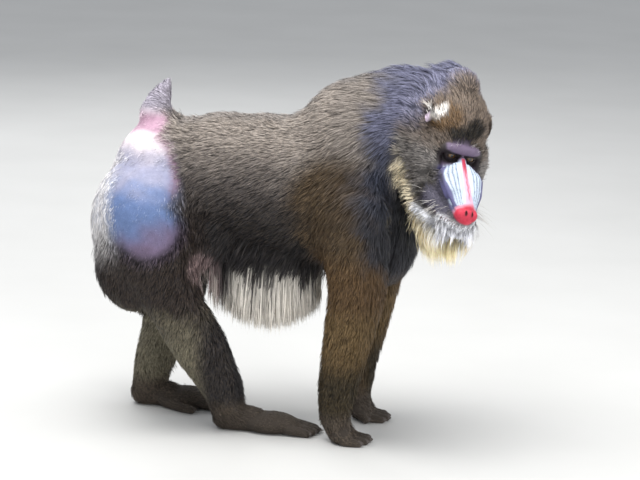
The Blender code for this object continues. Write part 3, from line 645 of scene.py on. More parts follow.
HEAD_ZONES = (
    Zone((-0.01, 0.02, 0.10), 0.05, (-1, 0.1, 0.05), 0.024, 0.0050, 0.0012),
    Zone((0.04, 0.02, 0.06), 0.035, (-0.8, 0.1, 0.60), 0.017, 0.005, 0.0011),
    Zone((0.07, 0.02, 0.022), 0.018, (-0.2, 0.15, 0.9), 0.010, 0.0035, 0.0009),
    Zone((0.03, 0.055, 0.02), 0.030, (-0.9, 0.3, 0.2), 0.017, 0.004, 0.0011),
    Zone((0.03, 0.075, -0.04), 0.040, (-0.95, 0.25, -0.3), 0.021, 0.006, 0.0012),
    Zone((-0.04, 0.085, -0.03), 0.045, (-0.9, 0.45, -0.35), 0.034, 0.010, 0.0012),
    Zone((0.04, 0.06, -0.095), 0.035, (-0.7, 0.2, -0.8), 0.024, 0.006, 0.0013),
    Zone((0.043, 0.058, 0.062), 0.013, (0.60, -0.45, 0.9), 0.026, 0.006, 0.0011),
    Zone((0.022, 0.070, 0.042), 0.012, (-0.7, 0.3, 0.3), 0.014, 0.003, 0.0010),
    Zone((0.13, 0.035, -0.070), 0.020, (-0.7, 0.15, -0.5), 0.0055, 0.0007, 0.0007, 0.6),
    Zone((0.10, 0.040, -0.050), 0.028, (-0.9, 0.1, -0.4), 0.0075, 0.0010, 0.0008, 0.8),
    Zone((0.12, 0.036, -0.105), 0.020, (-0.5, 0.25, -0.8), 0.013, 0.0035, 0.0010),
    Zone((0.16, 0.0, -0.118), 0.020, (0.1, 0.1, -1.0), 0.013, 0.0035, 0.0010),
    Zone((0.09, 0.01, -0.135), 0.026, (-0.2, 0, -1.0), 0.030, 0.006, 0.0013),
    Zone((-0.08, 0.02, 0.04), 0.06, (-0.8, 0, -0.2), 0.032, 0.010, 0.0015),
)


def blend(zones: tuple[Zone, ...], p: Array) -> tuple[Array, Array]:
    """Aim and (length, rise, width, cover) at each point, as a soft mean of the zones.

    Args:
        zones: the zones, given for the left side and mirrored for the right.
        p: points, one a row.

    Returns:
        Aims (n, 3), and the four sizes (n, 4).
    """
    mirrored = folded(p)
    aim = np.zeros_like(p)
    sizes = np.zeros((len(p), 4))
    total = np.full((len(p), 1), 1e-9)
    for zone in zones:
        d2 = ((mirrored - np.array(zone.centre)) ** 2).sum(1, keepdims=True)
        weight = np.exp(-d2 / zone.radius**2) + 1e-6 / (d2 + 1e-4)
        aim += weight * np.array(zone.aim)
        sizes += weight * np.array((zone.length, zone.rise, zone.width, zone.cover))
        total += weight
    aim[:, 1] *= np.where(p[:, 1] < 0, -1.0, 1.0)
    return unit(aim), sizes / total


class Part(Enum):
    """The pieces of the coat: name, nodes that each stands for, and slot."""

    BACK = ("coat_back", "torso", "fur_trunk")
    FLANK_RIGHT = ("coat_flank_right", "torso", "fur_trunk")
    FLANK_LEFT = ("coat_flank_left", "torso", "fur_trunk")
    RUMP = ("coat_rump", "rump", "fur_trunk")
    ARM_RIGHT = ("coat_arm_right", "upper_arm_right forearm_right", "fur_arm")
    ARM_LEFT = ("coat_arm_left", "upper_arm_left forearm_left", "fur_arm")
    LEG_RIGHT = ("coat_leg_right", "thigh_right shank_right", "fur_leg")
    LEG_LEFT = ("coat_leg_left", "thigh_left shank_left", "fur_leg")
    MANTLE_RIGHT = ("coat_mantle_right", "neck", "fur_mantle")
    MANTLE_LEFT = ("coat_mantle_left", "neck", "fur_mantle")
    CHEST = ("coat_chest", "neck", "fur_mantle")
    FRINGE = ("coat_fringe", "torso", "fur_trunk")
    CROWN = ("coat_crown", "head", "fur_head")
    CHEEKS = ("coat_cheeks", "head", "fur_head")
    BEARD = ("coat_beard", "jaw", "fur_beard")
    TAIL = ("coat_tail", "tail", "tail_coat")


def off_limb(p: Array, stations: list[Station]) -> Array:
    """Distance of each point outside a tapered limb, below 0 inside it."""
    least = np.full(len(p), 9.0)
    for (low, low_r), (high, high_r) in zip(stations, stations[1:]):
        a, b = np.array(low), np.array(high)
        t = np.clip((p - a) @ (b - a) / ((b - a) @ (b - a)), 0, 1)
        off_axis = np.linalg.norm(p - a - t[:, None] * (b - a), axis=1)
        least = np.minimum(least, off_axis - (low_r + (high_r - low_r) * t))
    return least


@dataclass
class Hide:
    """What skin and coat share at each point: markings with some painted light and shade, bare
    places and the coat's sizes.
    """

    head: Head
    body: Body
    dorsal: tuple = (0.200, 0.180, 0.170)
    # Back: the olive-brown coat made lighter with painted sky light falling on the top of the back.
    back: tuple = (0.275, 0.240, 0.213)
    flank: tuple = (0.096, 0.083, 0.079)
    # Low on the flank: dark fur, darkened further with painted shade under the body.
    low_flank_dark_fur_and_shade: tuple = (0.018, 0.016, 0.018)
    shoulder: tuple = (0.068, 0.045, 0.025)
    upper_arm: tuple = (0.096, 0.055, 0.024)
    wrist: tuple = (0.030, 0.022, 0.011)
    forearm: tuple = (0.125, 0.080, 0.034)
    mantle: tuple = (0.049, 0.057, 0.088)
    # Top of the mantle and the nape: the speckled grey coat with painted sky light, lighter and
    # bluer on top.
    sky_lit_mantle_top: tuple = (0.168, 0.172, 0.258)
    chest: tuple = (0.030, 0.030, 0.033)
    thigh: tuple = (0.022, 0.016, 0.016)
    shank: tuple = (0.152, 0.137, 0.096)
    fringe: tuple = (0.680, 0.640, 0.580)
    rear: tuple = (0.820, 0.800, 0.800)
    rump_white: tuple = (0.860, 0.760, 0.790)
    rump_lilac: tuple = (0.300, 0.305, 0.425)
    rump_blue: tuple = (0.130, 0.200, 0.400)
    rump_purple: tuple = (0.165, 0.120, 0.205)
    rump_dark: tuple = (0.060, 0.044, 0.062)
    rump_root: tuple = (0.410, 0.190, 0.310)
    fold: tuple = (0.270, 0.195, 0.195)
    tail: tuple = (0.460, 0.425, 0.500)
    hand: tuple = (0.070, 0.055, 0.043)
    crown: tuple = (0.138, 0.107, 0.086)
    temple: tuple = (0.108, 0.058, 0.020)
    # Black fur above the brow ridge, darkened further with painted shadow cast by the brow's hair.
    brow_fur_and_shadow: tuple = (0.008, 0.007, 0.007)
    brow: tuple = (0.150, 0.110, 0.180)
    # Painted shade: near black for the eye sockets under the brow, the brow ridge's outer ends, the
    # face beside the eyes and the crease of the mouth.
    socket: tuple = (0.016, 0.010, 0.012)
    cheek: tuple = (0.185, 0.172, 0.165)
    cheek_rear: tuple = (0.820, 0.720, 0.520)
    mouth_fur: tuple = (0.930, 0.940, 1.000)
    beard: tuple = (1.000, 0.910, 0.640)
    beard_side: tuple = (0.850, 0.680, 0.400)
    dark_cheek: tuple = (0.026, 0.023, 0.023)
    ridge: tuple = (0.600, 0.700, 0.830)
    groove: tuple = (0.050, 0.060, 0.130)
    ridge_edge: tuple = (0.110, 0.105, 0.230)
    stripe_top: tuple = (0.480, 0.020, 0.060)
    stripe_low: tuple = (0.800, 0.430, 0.560)
    nose: tuple = (0.620, 0.034, 0.072)
    # Nostrils: dark red skin, deepened with painted shade inside the shallow nostril cuts.
    nostril: tuple = (0.090, 0.010, 0.016)
    # Painted shade under the lower lip, over the white fur.
    shade_under_lip: tuple = (0.130, 0.130, 0.150)
    lip: tuple = (0.520, 0.300, 0.310)
    muzzle_side: tuple = (0.085, 0.080, 0.115)
    ear: tuple = (0.800, 0.650, 0.800)
    ear_fur: tuple = (0.780, 0.760, 0.740)
    flank_fold: tuple = ((-0.146, 0.085, 0.322), (0.036, 0.045, 0.030))
    ear_tuft: tuple = ((0.042, -0.056, 0.062), (0.013, 0.023, 0.025))

    def bare_rump(self, p: Array) -> Array:
        """The bare patch on the buttocks, from the tail's root down to the thighs."""
        f = folded(p)
        wave = waves(p, 0.012, 21) * 0.09 + waves(p, 0.05, 22) * 0.06
        spots = (
            ((-0.272, 0.100, 0.458), (0.090, 0.17, 0.120)),
            ((-0.345, 0.040, 0.440), (0.085, 0.090, 0.120)),
            ((-0.235, 0.110, 0.390), (0.060, 0.16, 0.064)),
            ((-0.275, 0.030, 0.552), (0.060, 0.060, 0.050)),
        )
        patch = np.maximum.reduce([blob(f, *spot) for spot in spots])
        return np.clip(patch + wave * 4 * patch * (1 - patch), 0, 1)

    def leg_share(self, p: Array) -> Array:
        """1 on the legs from the knee down and on the front of the thighs."""
        gap = np.minimum.reduce([off_limb(p, self.body.legs[side]) for side in Side])
        return (1 - step(-0.004, 0.006, gap)) * (1 - step(0.34, 0.38, p[:, 2]))

    def ear_share(self, h: Array) -> Array:
        """1 on the bare cups of the ears."""
        return blob(h, (0.026, -0.070, 0.043), (0.013, 0.016, 0.014))

    def bare_face(self, h: Array) -> Array:
        """The bare skin: muzzle top and its ridges, nose, brow ridge and eye surrounds."""
        u, out, lift = self.head.muzzle_share(h)
        raised = lift + 0.12 * np.maximum(0, out - 0.03)
        top = step(-0.30, -0.12, u) * step(-0.034, -0.026, raised) * (1 - step(0.036, 0.044, out))
        f = folded(h)
        eyes = blob(f, (0.074, 0.0185, -0.003), (0.024, 0.023, 0.016))
        brow = blob(f, (0.078, 0.016, 0.010), (0.022, 0.030, 0.011))
        return np.maximum.reduce([top, eyes, brow]) * step(0.050, 0.058, h[:, 0])

    def lips(self, h: Array) -> Array:
        """The lips and the sides of the muzzle, where hair is very short."""
        return step(0.075, 0.105, h[:, 0]) * step(-0.132, -0.118, h[:, 2])

    def body_tint(self, p: Array) -> tuple[Array, Array]:
        """Colours of the body's skin and of its coat, with painted sky light on the back and the
        mantle's top and painted shade low on the flank.
        """
        f = folded(p)
        x, y, z = f.T
        n = waves(p, 0.07, 3)
        arm = step(0.045, 0.085, x) * (1 - step(0.42, 0.50, z + 0.02 * n)) * step(0.045, 0.075, y)
        shoulder = blob(f, (0.110, 0.12, 0.43), (0.095, 0.10, 0.12))
        low = (1 - step(0.400, 0.500, z + 0.012 * n)) * step(-0.19, -0.13, x)
        thigh = (1 - step(-0.16, -0.12, x)) * (1 - step(0.38, 0.46, z))
        heights = (0.28, 0.335, 0.38, 0.48, 0.54, 0.66)
        edge = np.interp(z, heights, (0.240, 0.215, 0.178, 0.162, 0.160, 0.185))
        neck = step(-0.028, 0.028, x - edge + 0.018 * n) * step(0.27, 0.31, z)
        belly = step(-0.165, -0.140, x) * (1 - step(0.066, 0.090, x)) * (1 - step(0.292, 0.325, z))
        belly *= (1 - step(0.095, 0.115, y)) * step(0.18, 0.21, z) * (1 - self.leg_share(p))
        rear = 1 - step(-0.325, -0.275, x + 0.01 * n)
        coat = layered(
            p,
            self.flank,
            # Painted sky light: the top of the back is lighter.
            (self.back, step(0.47, 0.57, z + 0.012 * n)),
            (self.dorsal, (1 - step(0.012, 0.040, y)) * step(0.53, 0.56, z) * 0.8),
            (self.shoulder, np.maximum(shoulder, arm)),
            (self.upper_arm, arm * (1 - step(0.34, 0.40, z))),
            (self.forearm, arm * (1 - step(0.24, 0.30, z))),
            (self.wrist, arm * (1 - step(0.13, 0.20, z))),
            # Dark fur with painted shade low on the flank.
            (self.low_flank_dark_fur_and_shade, low * (1 - step(0.035, 0.075, x + 0.010 * n))),
            (self.thigh, thigh),
            (self.shank, thigh * (1 - step(0.17, 0.27, z + 0.02 * n))),
            (self.mantle, neck),
            # Painted sky light: the mantle grows lighter and bluer towards its top.
            (self.sky_lit_mantle_top, neck * step(0.50, 0.62, z + 0.4 * (x - 0.2))),
            (self.chest, neck * (1 - step(0.40, 0.53, z)) * 0.85),
            (self.fold, blob(f, *self.flank_fold) * 0.8),
            (self.fringe, belly),
            (self.rear, rear * step(0.30, 0.42, z) * (1 - step(0.52, 0.57, z))),
        )
        patch = self.bare_rump(p)
        root = step(0.538, 0.556, z + 0.006 * n) * (1 - step(0.572, 0.596, z) * 0.7)
        rim = np.clip(1 - np.abs(patch - 0.55) / 0.45, 0, 1) * step(0.43, 0.48, z)
        skin = layered(
            p,
            self.rump_blue,
            (self.rump_lilac, step(0.430, 0.490, z + 0.010 * n)),
            (self.rump_white, step(0.488, 0.545, z + 0.010 * n)),
            (self.rump_purple, 1 - step(0.345, 0.410, z - 0.3 * (x + 0.25) + 0.010 * n)),
            (self.rump_dark, 1 - step(0.315, 0.365, z + 0.010 * n)),
            (self.rump_root, np.maximum(root, rim) * 0.8),
            (self.rear, (1 - step(-0.345, -0.290, x)) * (1 - step(0.46, 0.52, z)) * 0.7),
        )
        tail = (1 - step(-0.20, -0.18, x)) * step(0.572, 0.600, z) * (1 - step(0.04, 0.06, y))
        low_end = 1 - step(0.045, 0.085, z)
        pale = 0.75 * skin + (0.02 + 0.14 * step(0.38, 0.46, z))[:, None]
        pale = mix(pale, self.rear, rear * step(0.30, 0.38, z) * 0.9)
        ends = ((self.tail, tail), (self.hand, low_end))
        return (
            layered(p, coat, (skin, patch), *ends),
            layered(p, coat, (pale, patch * 0.95), *ends),
        )

    def head_tint(self, h: Array) -> tuple[Array, Array]:
        """Colours of the head's skin and of its coat, for points of the head's frame, with painted
        light and shade: sky light on the nape, shadow above the brow, and shade under the lip,
        round the eyes, in the mouth's crease and in the nostrils.
        """
        f = folded(h)
        x, y, z = f.T
        n = waves(h, 0.03, 9)
        u, out, _ = self.head.muzzle_share(h)
        speck = 0.003 * n
        nape = (1 - step(-0.018, 0.027, x + 0.2 * (z - 0.06) + 0.004 * n)) * step(-0.01, 0.03, z)
        # Two patches of black fur above the brow ridge, with painted shadow from the brow's hair.
        low = blob(h + speck[:, None], (0.068, -0.008, 0.029), (0.026, 0.026, 0.016))
        high = blob(h + speck[:, None], (0.066, 0.013, 0.043), (0.025, 0.018, 0.018))
        throat = 1 - step(-0.116, -0.100, z)
        margin = 1 - step(0.0, 0.011, off_limb(f, RUFF_EDGE))
        beard = (1 - step(-0.125, -0.114, z)) * step(0.048, 0.066, x) * (1 - step(0.138, 0.158, x))
        upper = step(0.085, 0.105, x) * step(-0.096, -0.086, z)
        front = step(0.138, 0.154, x) * (1 - step(-0.090, -0.080, z))
        coat = layered(
            h,
            self.crown,
            (self.temple, blob(h, (0.046, -0.034, 0.048), (0.030, 0.034, 0.026)) * 0.8),
            (self.cheek, 1 - step(-0.020, 0.015, z + 0.006 * n)),
            # Painted sky light on the nape.
            (self.sky_lit_mantle_top, nape),
            # Black fur and painted shadow above the brow.
            (self.brow_fur_and_shadow, np.maximum(low, high)),
            (self.dark_cheek, blob(f, (0.092, 0.046, -0.078), (0.024, 0.030, 0.026)) * 0.9),
            (self.chest, throat * (1 - step(0.045, 0.070, x))),
            (self.cheek_rear, margin * 0.85),
            (self.mouth_fur, step(0.068, 0.086, x + speck) * (1 - step(-0.106, -0.095, z + speck))),
            # Painted shade under the lip.
            (self.shade_under_lip, blob(f, (0.130, 0.028, -0.111), (0.015, 0.012, 0.006)) * 0.7),
            (self.beard, beard),
            (self.beard_side, beard * step(0.022, 0.040, y) * 0.45),
            (self.ear_fur, blob(h, *self.ear_tuft)),
            (self.muzzle_side, upper * (1 - step(0.15, 0.17, x))),
            (self.mouth_fur, front),
        )
        muzzle = step(0.075, 0.095, x) * step(-0.132, -0.118, z)
        line = self.head.mouth_line(h, 0.0044) * step(0.075, 0.09, x)
        skin = layered(
            h,
            coat * 0.8,
            (self.ear, self.ear_share(h)),
            (self.muzzle_side, muzzle * step(-0.100, -0.086, z) * (1 - front)),
            (self.lip, line * 0.85),
            # Painted shade in the crease where the lips meet.
            (self.socket, self.head.mouth_line(h, 0.0014) * line * 0.8),
            # Painted shade beside and below the eyes.
            (self.socket, blob(f, (0.060, 0.034, -0.010), (0.024, 0.020, 0.022))),
            (self.face_paint(h, u, out, n), self.bare_face(h)),
            # Painted shade in the nostrils.
            (self.nostril, blob(f, (0.188, 0.0060, -0.0625), (0.0075, 0.0026, 0.0058))),
        )
        return skin, coat

    def face_paint(self, h: Array, u: Array, out: Array, n: Array) -> Array:
        """Colours of the bare face: ridges and grooves, middle stripe and nose, with a painted
        highlight on the nose's top and painted shade round the eyes.

        Args:
            h: points of the head's frame.
            u: their share along the muzzle.
            out: their distance aside.
            n: noise for each.

        Returns:
            One colour for each point.
        """
        f = folded(h)
        lobe = self.head.lobe_share(u, out) * (self.head.lobes - 1)
        turn = 2 * math.pi * (lobe + 0.06 * n)
        between = (0.5 - 0.5 * np.cos(turn)) ** 6.0
        second = (0.5 - 0.5 * np.cos(2 * turn)) ** 8.0 * step(0.2, 0.5, lobe)
        grooves = np.maximum(between, 0.55 * second) * step(0.1, 0.45, lobe) * 0.9
        ridges = layered(
            h,
            self.ridge,
            (self.groove, grooves),
            (self.ridge_edge, step(2.9, 3.5, lobe + 0.3 * n)),
        )
        core = np.exp(-(((h[:, 1] + 0.0006 * np.sin(40 * u)) / 0.0012) ** 2))
        core = core * (1 - step(0.75, 0.95, u))
        stripe = layered(
            h,
            self.stripe_top,
            (self.stripe_low, step(0.10, 0.45, u)),
            (self.stripe_top, core * 0.9),
        )
        middle = 1 - step(0.0026 + 0.0035 * u, 0.0044 + 0.0045 * u, out)
        off_eye = (f - np.array(self.head.eye_place)) / np.array((1, 1.6, 1.0))
        near_eye = np.sqrt((off_eye**2).sum(1))
        return layered(
            h,
            self.brow,
            (ridges, step(-0.02, 0.10, u) * (1 - step(0.90, 0.99, u))),
            (stripe, middle * step(-0.02, 0.04, u)),
            (self.nose, step(0.920, 0.955, u + 0.010 * n)),
            # Painted highlight: a pink band across the top of the nose.
            (self.stripe_low, step(0.90, 0.93, u) * (1 - step(0.955, 1.0, u)) * 0.55),
            # Painted shade in the eye sockets under the brow.
            (self.socket, (1 - step(0.0150, 0.0215, near_eye)) * (1 - step(0.006, 0.010, f[:, 2]))),
            # Painted shade at the outer ends of the brow ridge and the side of the face.
            (self.socket, step(0.030, 0.036, f[:, 1]) * (1 - step(0.0, 0.12, u))),
        )

    def fields(self, p: Array) -> dict[str, Array]:
        """Everything the skin and the coat need at each point.

        Args:
            p: points of the animal's frame, one a row.

        Returns:
            Arrays by name: aim, length, rise, width, cover, hang_chin, hang_belly, tint, coat
            and bare.
        """
        h = POSE.local(p)
        head = POSE.share(h)
        aim_body, size_body = blend(BODY_ZONES, p)
        aim_head, size_head = blend(HEAD_ZONES, h)
        aim = unit(mix(aim_body, POSE.turned(aim_head), head))
        size = mix(size_body, size_head, head)
        skin_body, coat_body = self.body_tint(p)
        skin_head, coat_head = self.head_tint(h)
        face = self.bare_face(h) * head
        ear = self.ear_share(h) * head
        rump = self.bare_rump(p) * (1 - head)
        rear = (1 - step(-0.330, -0.280, p[:, 0])) * (1 - step(0.50, 0.54, p[:, 2]))
        veil = 0.04 + 0.96 * rear
        palm = (1 - step(0.004, 0.010, p[:, 2])) * (1 - head)
        bare = np.maximum.reduce([face, ear, rump, palm])
        lips = self.lips(h) * head * (1 - bare)
        mouth = self.head.mouth_line(h, 0.0030) * lips
        hx, hy, hz = folded(h).T
        chin = (1 - step(-0.126, -0.112, hz)) * step(0.055, 0.070, hx)
        chin *= (1 - step(0.140, 0.155, hx)) * (1 - step(0.034, 0.046, hy)) * head
        x, y, z = folded(p).T
        belly = step(-0.150, -0.130, x) * (1 - step(0.058, 0.078, x)) * step(0.19, 0.21, z)
        belly *= (1 - step(0.300, 0.330, z)) * (1 - step(0.090, 0.110, y)) * (1 - head)
        belly *= 1 - self.leg_share(p)
        cover = size[:, 3] * np.maximum((1 - bare) ** 2, veil * rump)
        coat_body = mix(coat_body, self.fringe, step(0.25, 0.6, belly))
        return {
            "aim": aim,
            "length": size[:, 0] * (1 - 0.55 * rump * (1 - rear)),
            "rise": size[:, 1] * (1 - 0.9 * np.maximum(face, rump)),
            "width": size[:, 2] * (1 - 0.35 * rump),
            "cover": cover * (1 - 0.1 * lips) * (1 - 0.7 * mouth),
            "hang_chin": chin,
            "hang_belly": belly,
            "tint": np.clip(mix(skin_body, skin_head, head), 0, 1),
            "coat": np.clip(mix(coat_body, coat_head, head), 0, 1),
            "bare": np.maximum(bare, 0.4 * lips),
        }

    def part_of(self, p: Array, hang_chin: Array, hang_belly: Array) -> Array:
        """Index into Part for each root."""
        h = POSE.local(p)
        head = POSE.share(h) > 0.5
        x, y, z = p.T
        right = y < 0
        parts = list(Part)
        part = np.full(len(p), parts.index(Part.BACK))

        def put(mask: Array, to_right: Part, to_left: Part | None = None) -> None:
            """Sets the part where the mask holds."""
            part[mask & right] = parts.index(to_right)
            part[mask & ~right] = parts.index(to_left or to_right)

        put(z < 0.52, Part.FLANK_RIGHT, Part.FLANK_LEFT)
        put(x < -0.165, Part.RUMP)
        put(x > 0.105, Part.MANTLE_RIGHT, Part.MANTLE_LEFT)
        put((x > 0.16) & (z < 0.50), Part.CHEST)
        put((x > 0.03) & (z < 0.425) & (np.abs(y) > 0.07), Part.ARM_RIGHT, Part.ARM_LEFT)
        put((x > 0.03) & (z < 0.262), Part.ARM_RIGHT, Part.ARM_LEFT)
        put((x < -0.118) & (z < 0.388), Part.LEG_RIGHT, Part.LEG_LEFT)
        put((x < 0.07) & (z < 0.06), Part.LEG_RIGHT, Part.LEG_LEFT)
        put((x < -0.17) & (z > 0.592) & (np.abs(y) < 0.05), Part.TAIL)
        put(hang_belly > 0.5, Part.FRINGE)
        put(head, Part.CHEEKS)
        put(head & (h[:, 2] > 0.020), Part.CROWN)
        put(head & (hang_chin > 0.5), Part.BEARD)
        return part


class Wire:
    """A shader socket that takes part in arithmetic, so that maths is written as expressions."""

    def __init__(self, board: "Board", socket: bpy.types.NodeSocket) -> None:
        """Wraps one output socket."""
        self.board = board
        self.socket = socket

    def maths(self, operation: str, other: "Wire | float", swapped: bool = False) -> "Wire":
        """Adds one Math node on this value and another."""
        pair = (other, self) if swapped else (self, other)
        return self.board.add("ShaderNodeMath", {"operation": operation}, {0: pair[0], 1: pair[1]})

    def __add__(self, other: "Wire | float") -> "Wire":
        """self + other."""
        return self.maths("ADD", other)

    def __radd__(self, other: float) -> "Wire":
        """other + self."""
        return self.maths("ADD", other, True)

    def __sub__(self, other: "Wire | float") -> "Wire":
        """self - other."""
        return self.maths("SUBTRACT", other)

    def __rsub__(self, other: float) -> "Wire":
        """other - self."""
        return self.maths("SUBTRACT", other, True)

    def __mul__(self, other: "Wire | float") -> "Wire":
        """self * other."""
        return self.maths("MULTIPLY", other)

    def __rmul__(self, other: float) -> "Wire":
        """other * self."""
        return self.maths("MULTIPLY", other, True)

    def __pow__(self, other: float) -> "Wire":
        """self ** other."""
        return self.maths("POWER", other)

    def over(self, low: float, high: float) -> "Wire":
        """Smooth step from 0 at low to 1 at high."""
        sockets = {"Value": self, "From Min": low, "From Max": high}
        return self.board.add("ShaderNodeMapRange", {"interpolation_type": "SMOOTHSTEP"}, sockets)


class Board:
    """The node tree of one material, with its shader and output in place."""

    def __init__(self, name: str) -> None:
        """Starts a material with one Principled shader."""
        self.material = bpy.data.materials.new(name)
        self.material.use_nodes = True
        self.tree = self.material.node_tree
        self.shader = self.tree.nodes["Principled BSDF"]

    def add(self, kind: str, settings: dict, sockets: dict, out: str | int = 0) -> Wire:
        """Adds a node.

        Args:
            kind: the node's type.
            settings: its own settings, and "stops" for a ramp as (place, colour) pairs.
            sockets: value or Wire for each input, by name or number.
            out: which output is wanted.

        Returns:
            The output as a Wire.
        """
        node = self.tree.nodes.new(kind)
        for key, value in settings.items():
            if key == "stops":
                ramp = node.color_ramp.elements
                while len(ramp) < len(value):
                    ramp.new(0.5)
                for stop, (place, colour) in zip(ramp, value):
                    stop.position = place
                    stop.color = (*colour, 1.0)
            else:
                setattr(node, key, value)
        for key, value in sockets.items():
            self.feed(node.inputs[key], value)
        return Wire(self, node.outputs[out])

    def feed(self, socket: bpy.types.NodeSocket, value: object) -> None:
        """Links a Wire to an input, or sets the input's own value."""
        if isinstance(value, Wire):
            self.tree.links.new(value.socket, socket)
        elif isinstance(value, tuple) and len(value) == 3 and socket.type == "RGBA":
            socket.default_value = (*value, 1.0)
        else:
            socket.default_value = value

    def set(self, **sockets: object) -> None:
        """Sets or links the shader's own sockets, with _ for a space in the name."""
        for key, value in sockets.items():
            self.feed(self.shader.inputs[key.replace("_", " ")], value)

    def attribute(self, name: str, out: str = "Color") -> Wire:
        """A value stored on the mesh."""
        return self.add("ShaderNodeAttribute", {"attribute_name": name}, {}, out)

    def part(self, colour: Wire, out: str) -> Wire:
        """One of the Red, Green and Blue values of a colour."""
        return self.add("ShaderNodeSeparateColor", {}, {"Color": colour}, out)

    def mixed(self, a: object, b: object, mask: object, kind: str = "MIX") -> Wire:
        """Two colours through a Mix node of that kind."""
        settings = {"data_type": "RGBA", "blend_type": kind}
        return self.add("ShaderNodeMix", settings, {0: mask, 6: a, 7: b}, 2)

    def scaled(self, colour: Wire, by: Wire | float) -> Wire:
        """A colour made darker or lighter by a value, or a place scaled by it."""
        return self.add("ShaderNodeVectorMath", {"operation": "SCALE"}, {0: colour, "Scale": by})

    def noise(self, place: Wire, scale: float, detail: float = 3.0) -> Wire:
        """Noise over the surface, from 0 to 1."""
        sockets = {"Vector": place, "Scale": scale, "Detail": detail}
        return self.add("ShaderNodeTexNoise", {}, sockets)

    def place(self) -> Wire:
        """Place in the model's own space."""
        return self.add("ShaderNodeTexCoord", {}, {}, "Object")

    def bump(
        self, height: Wire, strength: float, distance: float, onto: Wire | None = None
    ) -> Wire:
        """A Bump node that gives a normal, over another normal where there is one."""
        sockets = {"Height": height, "Strength": strength, "Distance": distance}
        if onto:
            sockets["Normal"] = onto
        return self.add("ShaderNodeBump", {}, sockets)


@dataclass(frozen=True)
class SkinFinish:
    """Skin under and between the coat: mottled, finely creased where bare, felted where furred."""

    name: str = "mandrill_skin"

    def make(self) -> bpy.types.Material:
        """The material, which reads the markings, with their painted light and shade, stored on the
        mesh.
        """
        b = Board(self.name)
        place = b.place()
        tint = b.attribute("tint")
        bare = b.attribute("bare", "Fac")
        blotch = b.noise(place, 90.0, 4.0)
        fine = b.noise(place, 620.0, 3.0)
        cells = {"Vector": place, "Scale": 520.0}
        pores = b.add("ShaderNodeTexVoronoi", {"feature": "DISTANCE_TO_EDGE"}, cells)
        creases = pores.over(0.0, 0.16)
        shade = (0.72 + blotch * 0.5) * (0.92 + fine * 0.16)
        under = b.scaled(tint, 0.55 * (0.6 + fine * 0.8))
        skin = b.scaled(tint, shade * (0.86 + creases * 0.14))
        b.set(Base_Color=b.mixed(under, skin, bare))
        b.set(Roughness=0.92 - bare * (0.36 + blotch * 0.14))
        felt = b.bump(fine, 0.5, 0.0016)
        b.set(Normal=b.bump(creases * bare + blotch * 0.6, 0.35, 0.0009, felt))
        b.set(Specular_IOR_Level=0.4)
        return b.material


@dataclass(frozen=True)
class CoatFinish:
    """Hair: dark at the root, its marking's colour, in places with painted light and shade, along
    the length, and banded near the tip.
    """

    name: str
    band: Triple = (0.42, 0.29, 0.12)
    band_share: float = 0.10
    band_gain: float = 2.1
    band_strength: float = 0.60
    root_shade: float = 0.50
    tip_shade: float = 1.12
    roughness: float = 0.62

    def make(self) -> bpy.types.Material:
        """The material. Stored on the mesh: tint, and hair as (place along it, fleck, band)."""
        b = Board(self.name)
        tint = b.attribute("tint")
        hair = b.attribute("hair")
        along, fleck, banded = (b.part(hair, name) for name in ("Red", "Green", "Blue"))
        grain = b.noise(b.place(), 260.0, 2.0)
        light = self.root_shade + along.over(0.0, 0.7) * (self.tip_shade - self.root_shade)
        light = light * (0.60 + fleck * 0.68) * (0.85 + grain * 0.3)
        colour = b.scaled(tint, light)
        ring = (fleck * 7.3).maths("FRACT", 0.0) * 0.55 + 0.35
        tip = (along - ring).maths("ABSOLUTE", 0.0).over(0.20, 0.07)
        mask = tip * banded * self.band_strength
        bright = b.mixed(b.scaled(tint, self.band_gain), self.band, self.band_share)
        b.set(Base_Color=b.mixed(colour, bright, mask))
        b.set(Roughness=self.roughness - along * 0.10 + grain * 0.08)
        b.set(Specular_IOR_Level=0.35)
        return b.material


@dataclass(frozen=True)
class EyeFinish:
    """A wet eye: black pupil, amber-brown iris with fine rays, dark rim. The iris is kept dark with
    painted shade from the brow.
    """

    pupil: float = 0.0024
    iris: float = 0.0062
    black: Triple = (0.003, 0.003, 0.003)
    # Iris colours: the eye's own brown, darkened with painted shade from the overhanging brow.
    brown: Triple = (0.075, 0.034, 0.010)
    amber: Triple = (0.16, 0.085, 0.025)
    rim: Triple = (0.035, 0.018, 0.012)

    def make(self) -> bpy.types.Material:
        """The material, which reads the distance from the eye's axis and the angle round it."""
        b = Board("mandrill_eye")
        off = b.attribute("off_axis", "Fac")
        rays = b.noise(b.scaled(b.place(), 6.0), 240.0)
        colour = b.mixed(self.brown, self.amber, rays)
        colour = b.mixed(self.black, colour, off.over(self.pupil * 0.9, self.pupil * 1.1))
        colour = b.mixed(colour, self.rim, off.over(self.iris * 0.86, self.iris))
        b.set(Base_Color=colour, Roughness=0.12, Coat_Roughness=0.03, Coat_Weight=1.0)
        return b.material


@dataclass(frozen=True)
class HornFinish:
    """Nails and bristles: a plain horn colour with fine streaks."""

    name: str
    colour: Triple
    roughness: float = 0.4

    def make(self) -> bpy.types.Material:
        """The material."""
        b = Board(self.name)
        streak = b.noise(b.place(), 700.0, 2.0)
        dark = tuple(c * 0.55 for c in self.colour)
        b.set(Base_Color=b.mixed(dark, self.colour, streak))
        b.set(Roughness=self.roughness + streak * 0.2)
        b.set(Normal=b.bump(streak, 0.2, 0.0004))
        return b.material


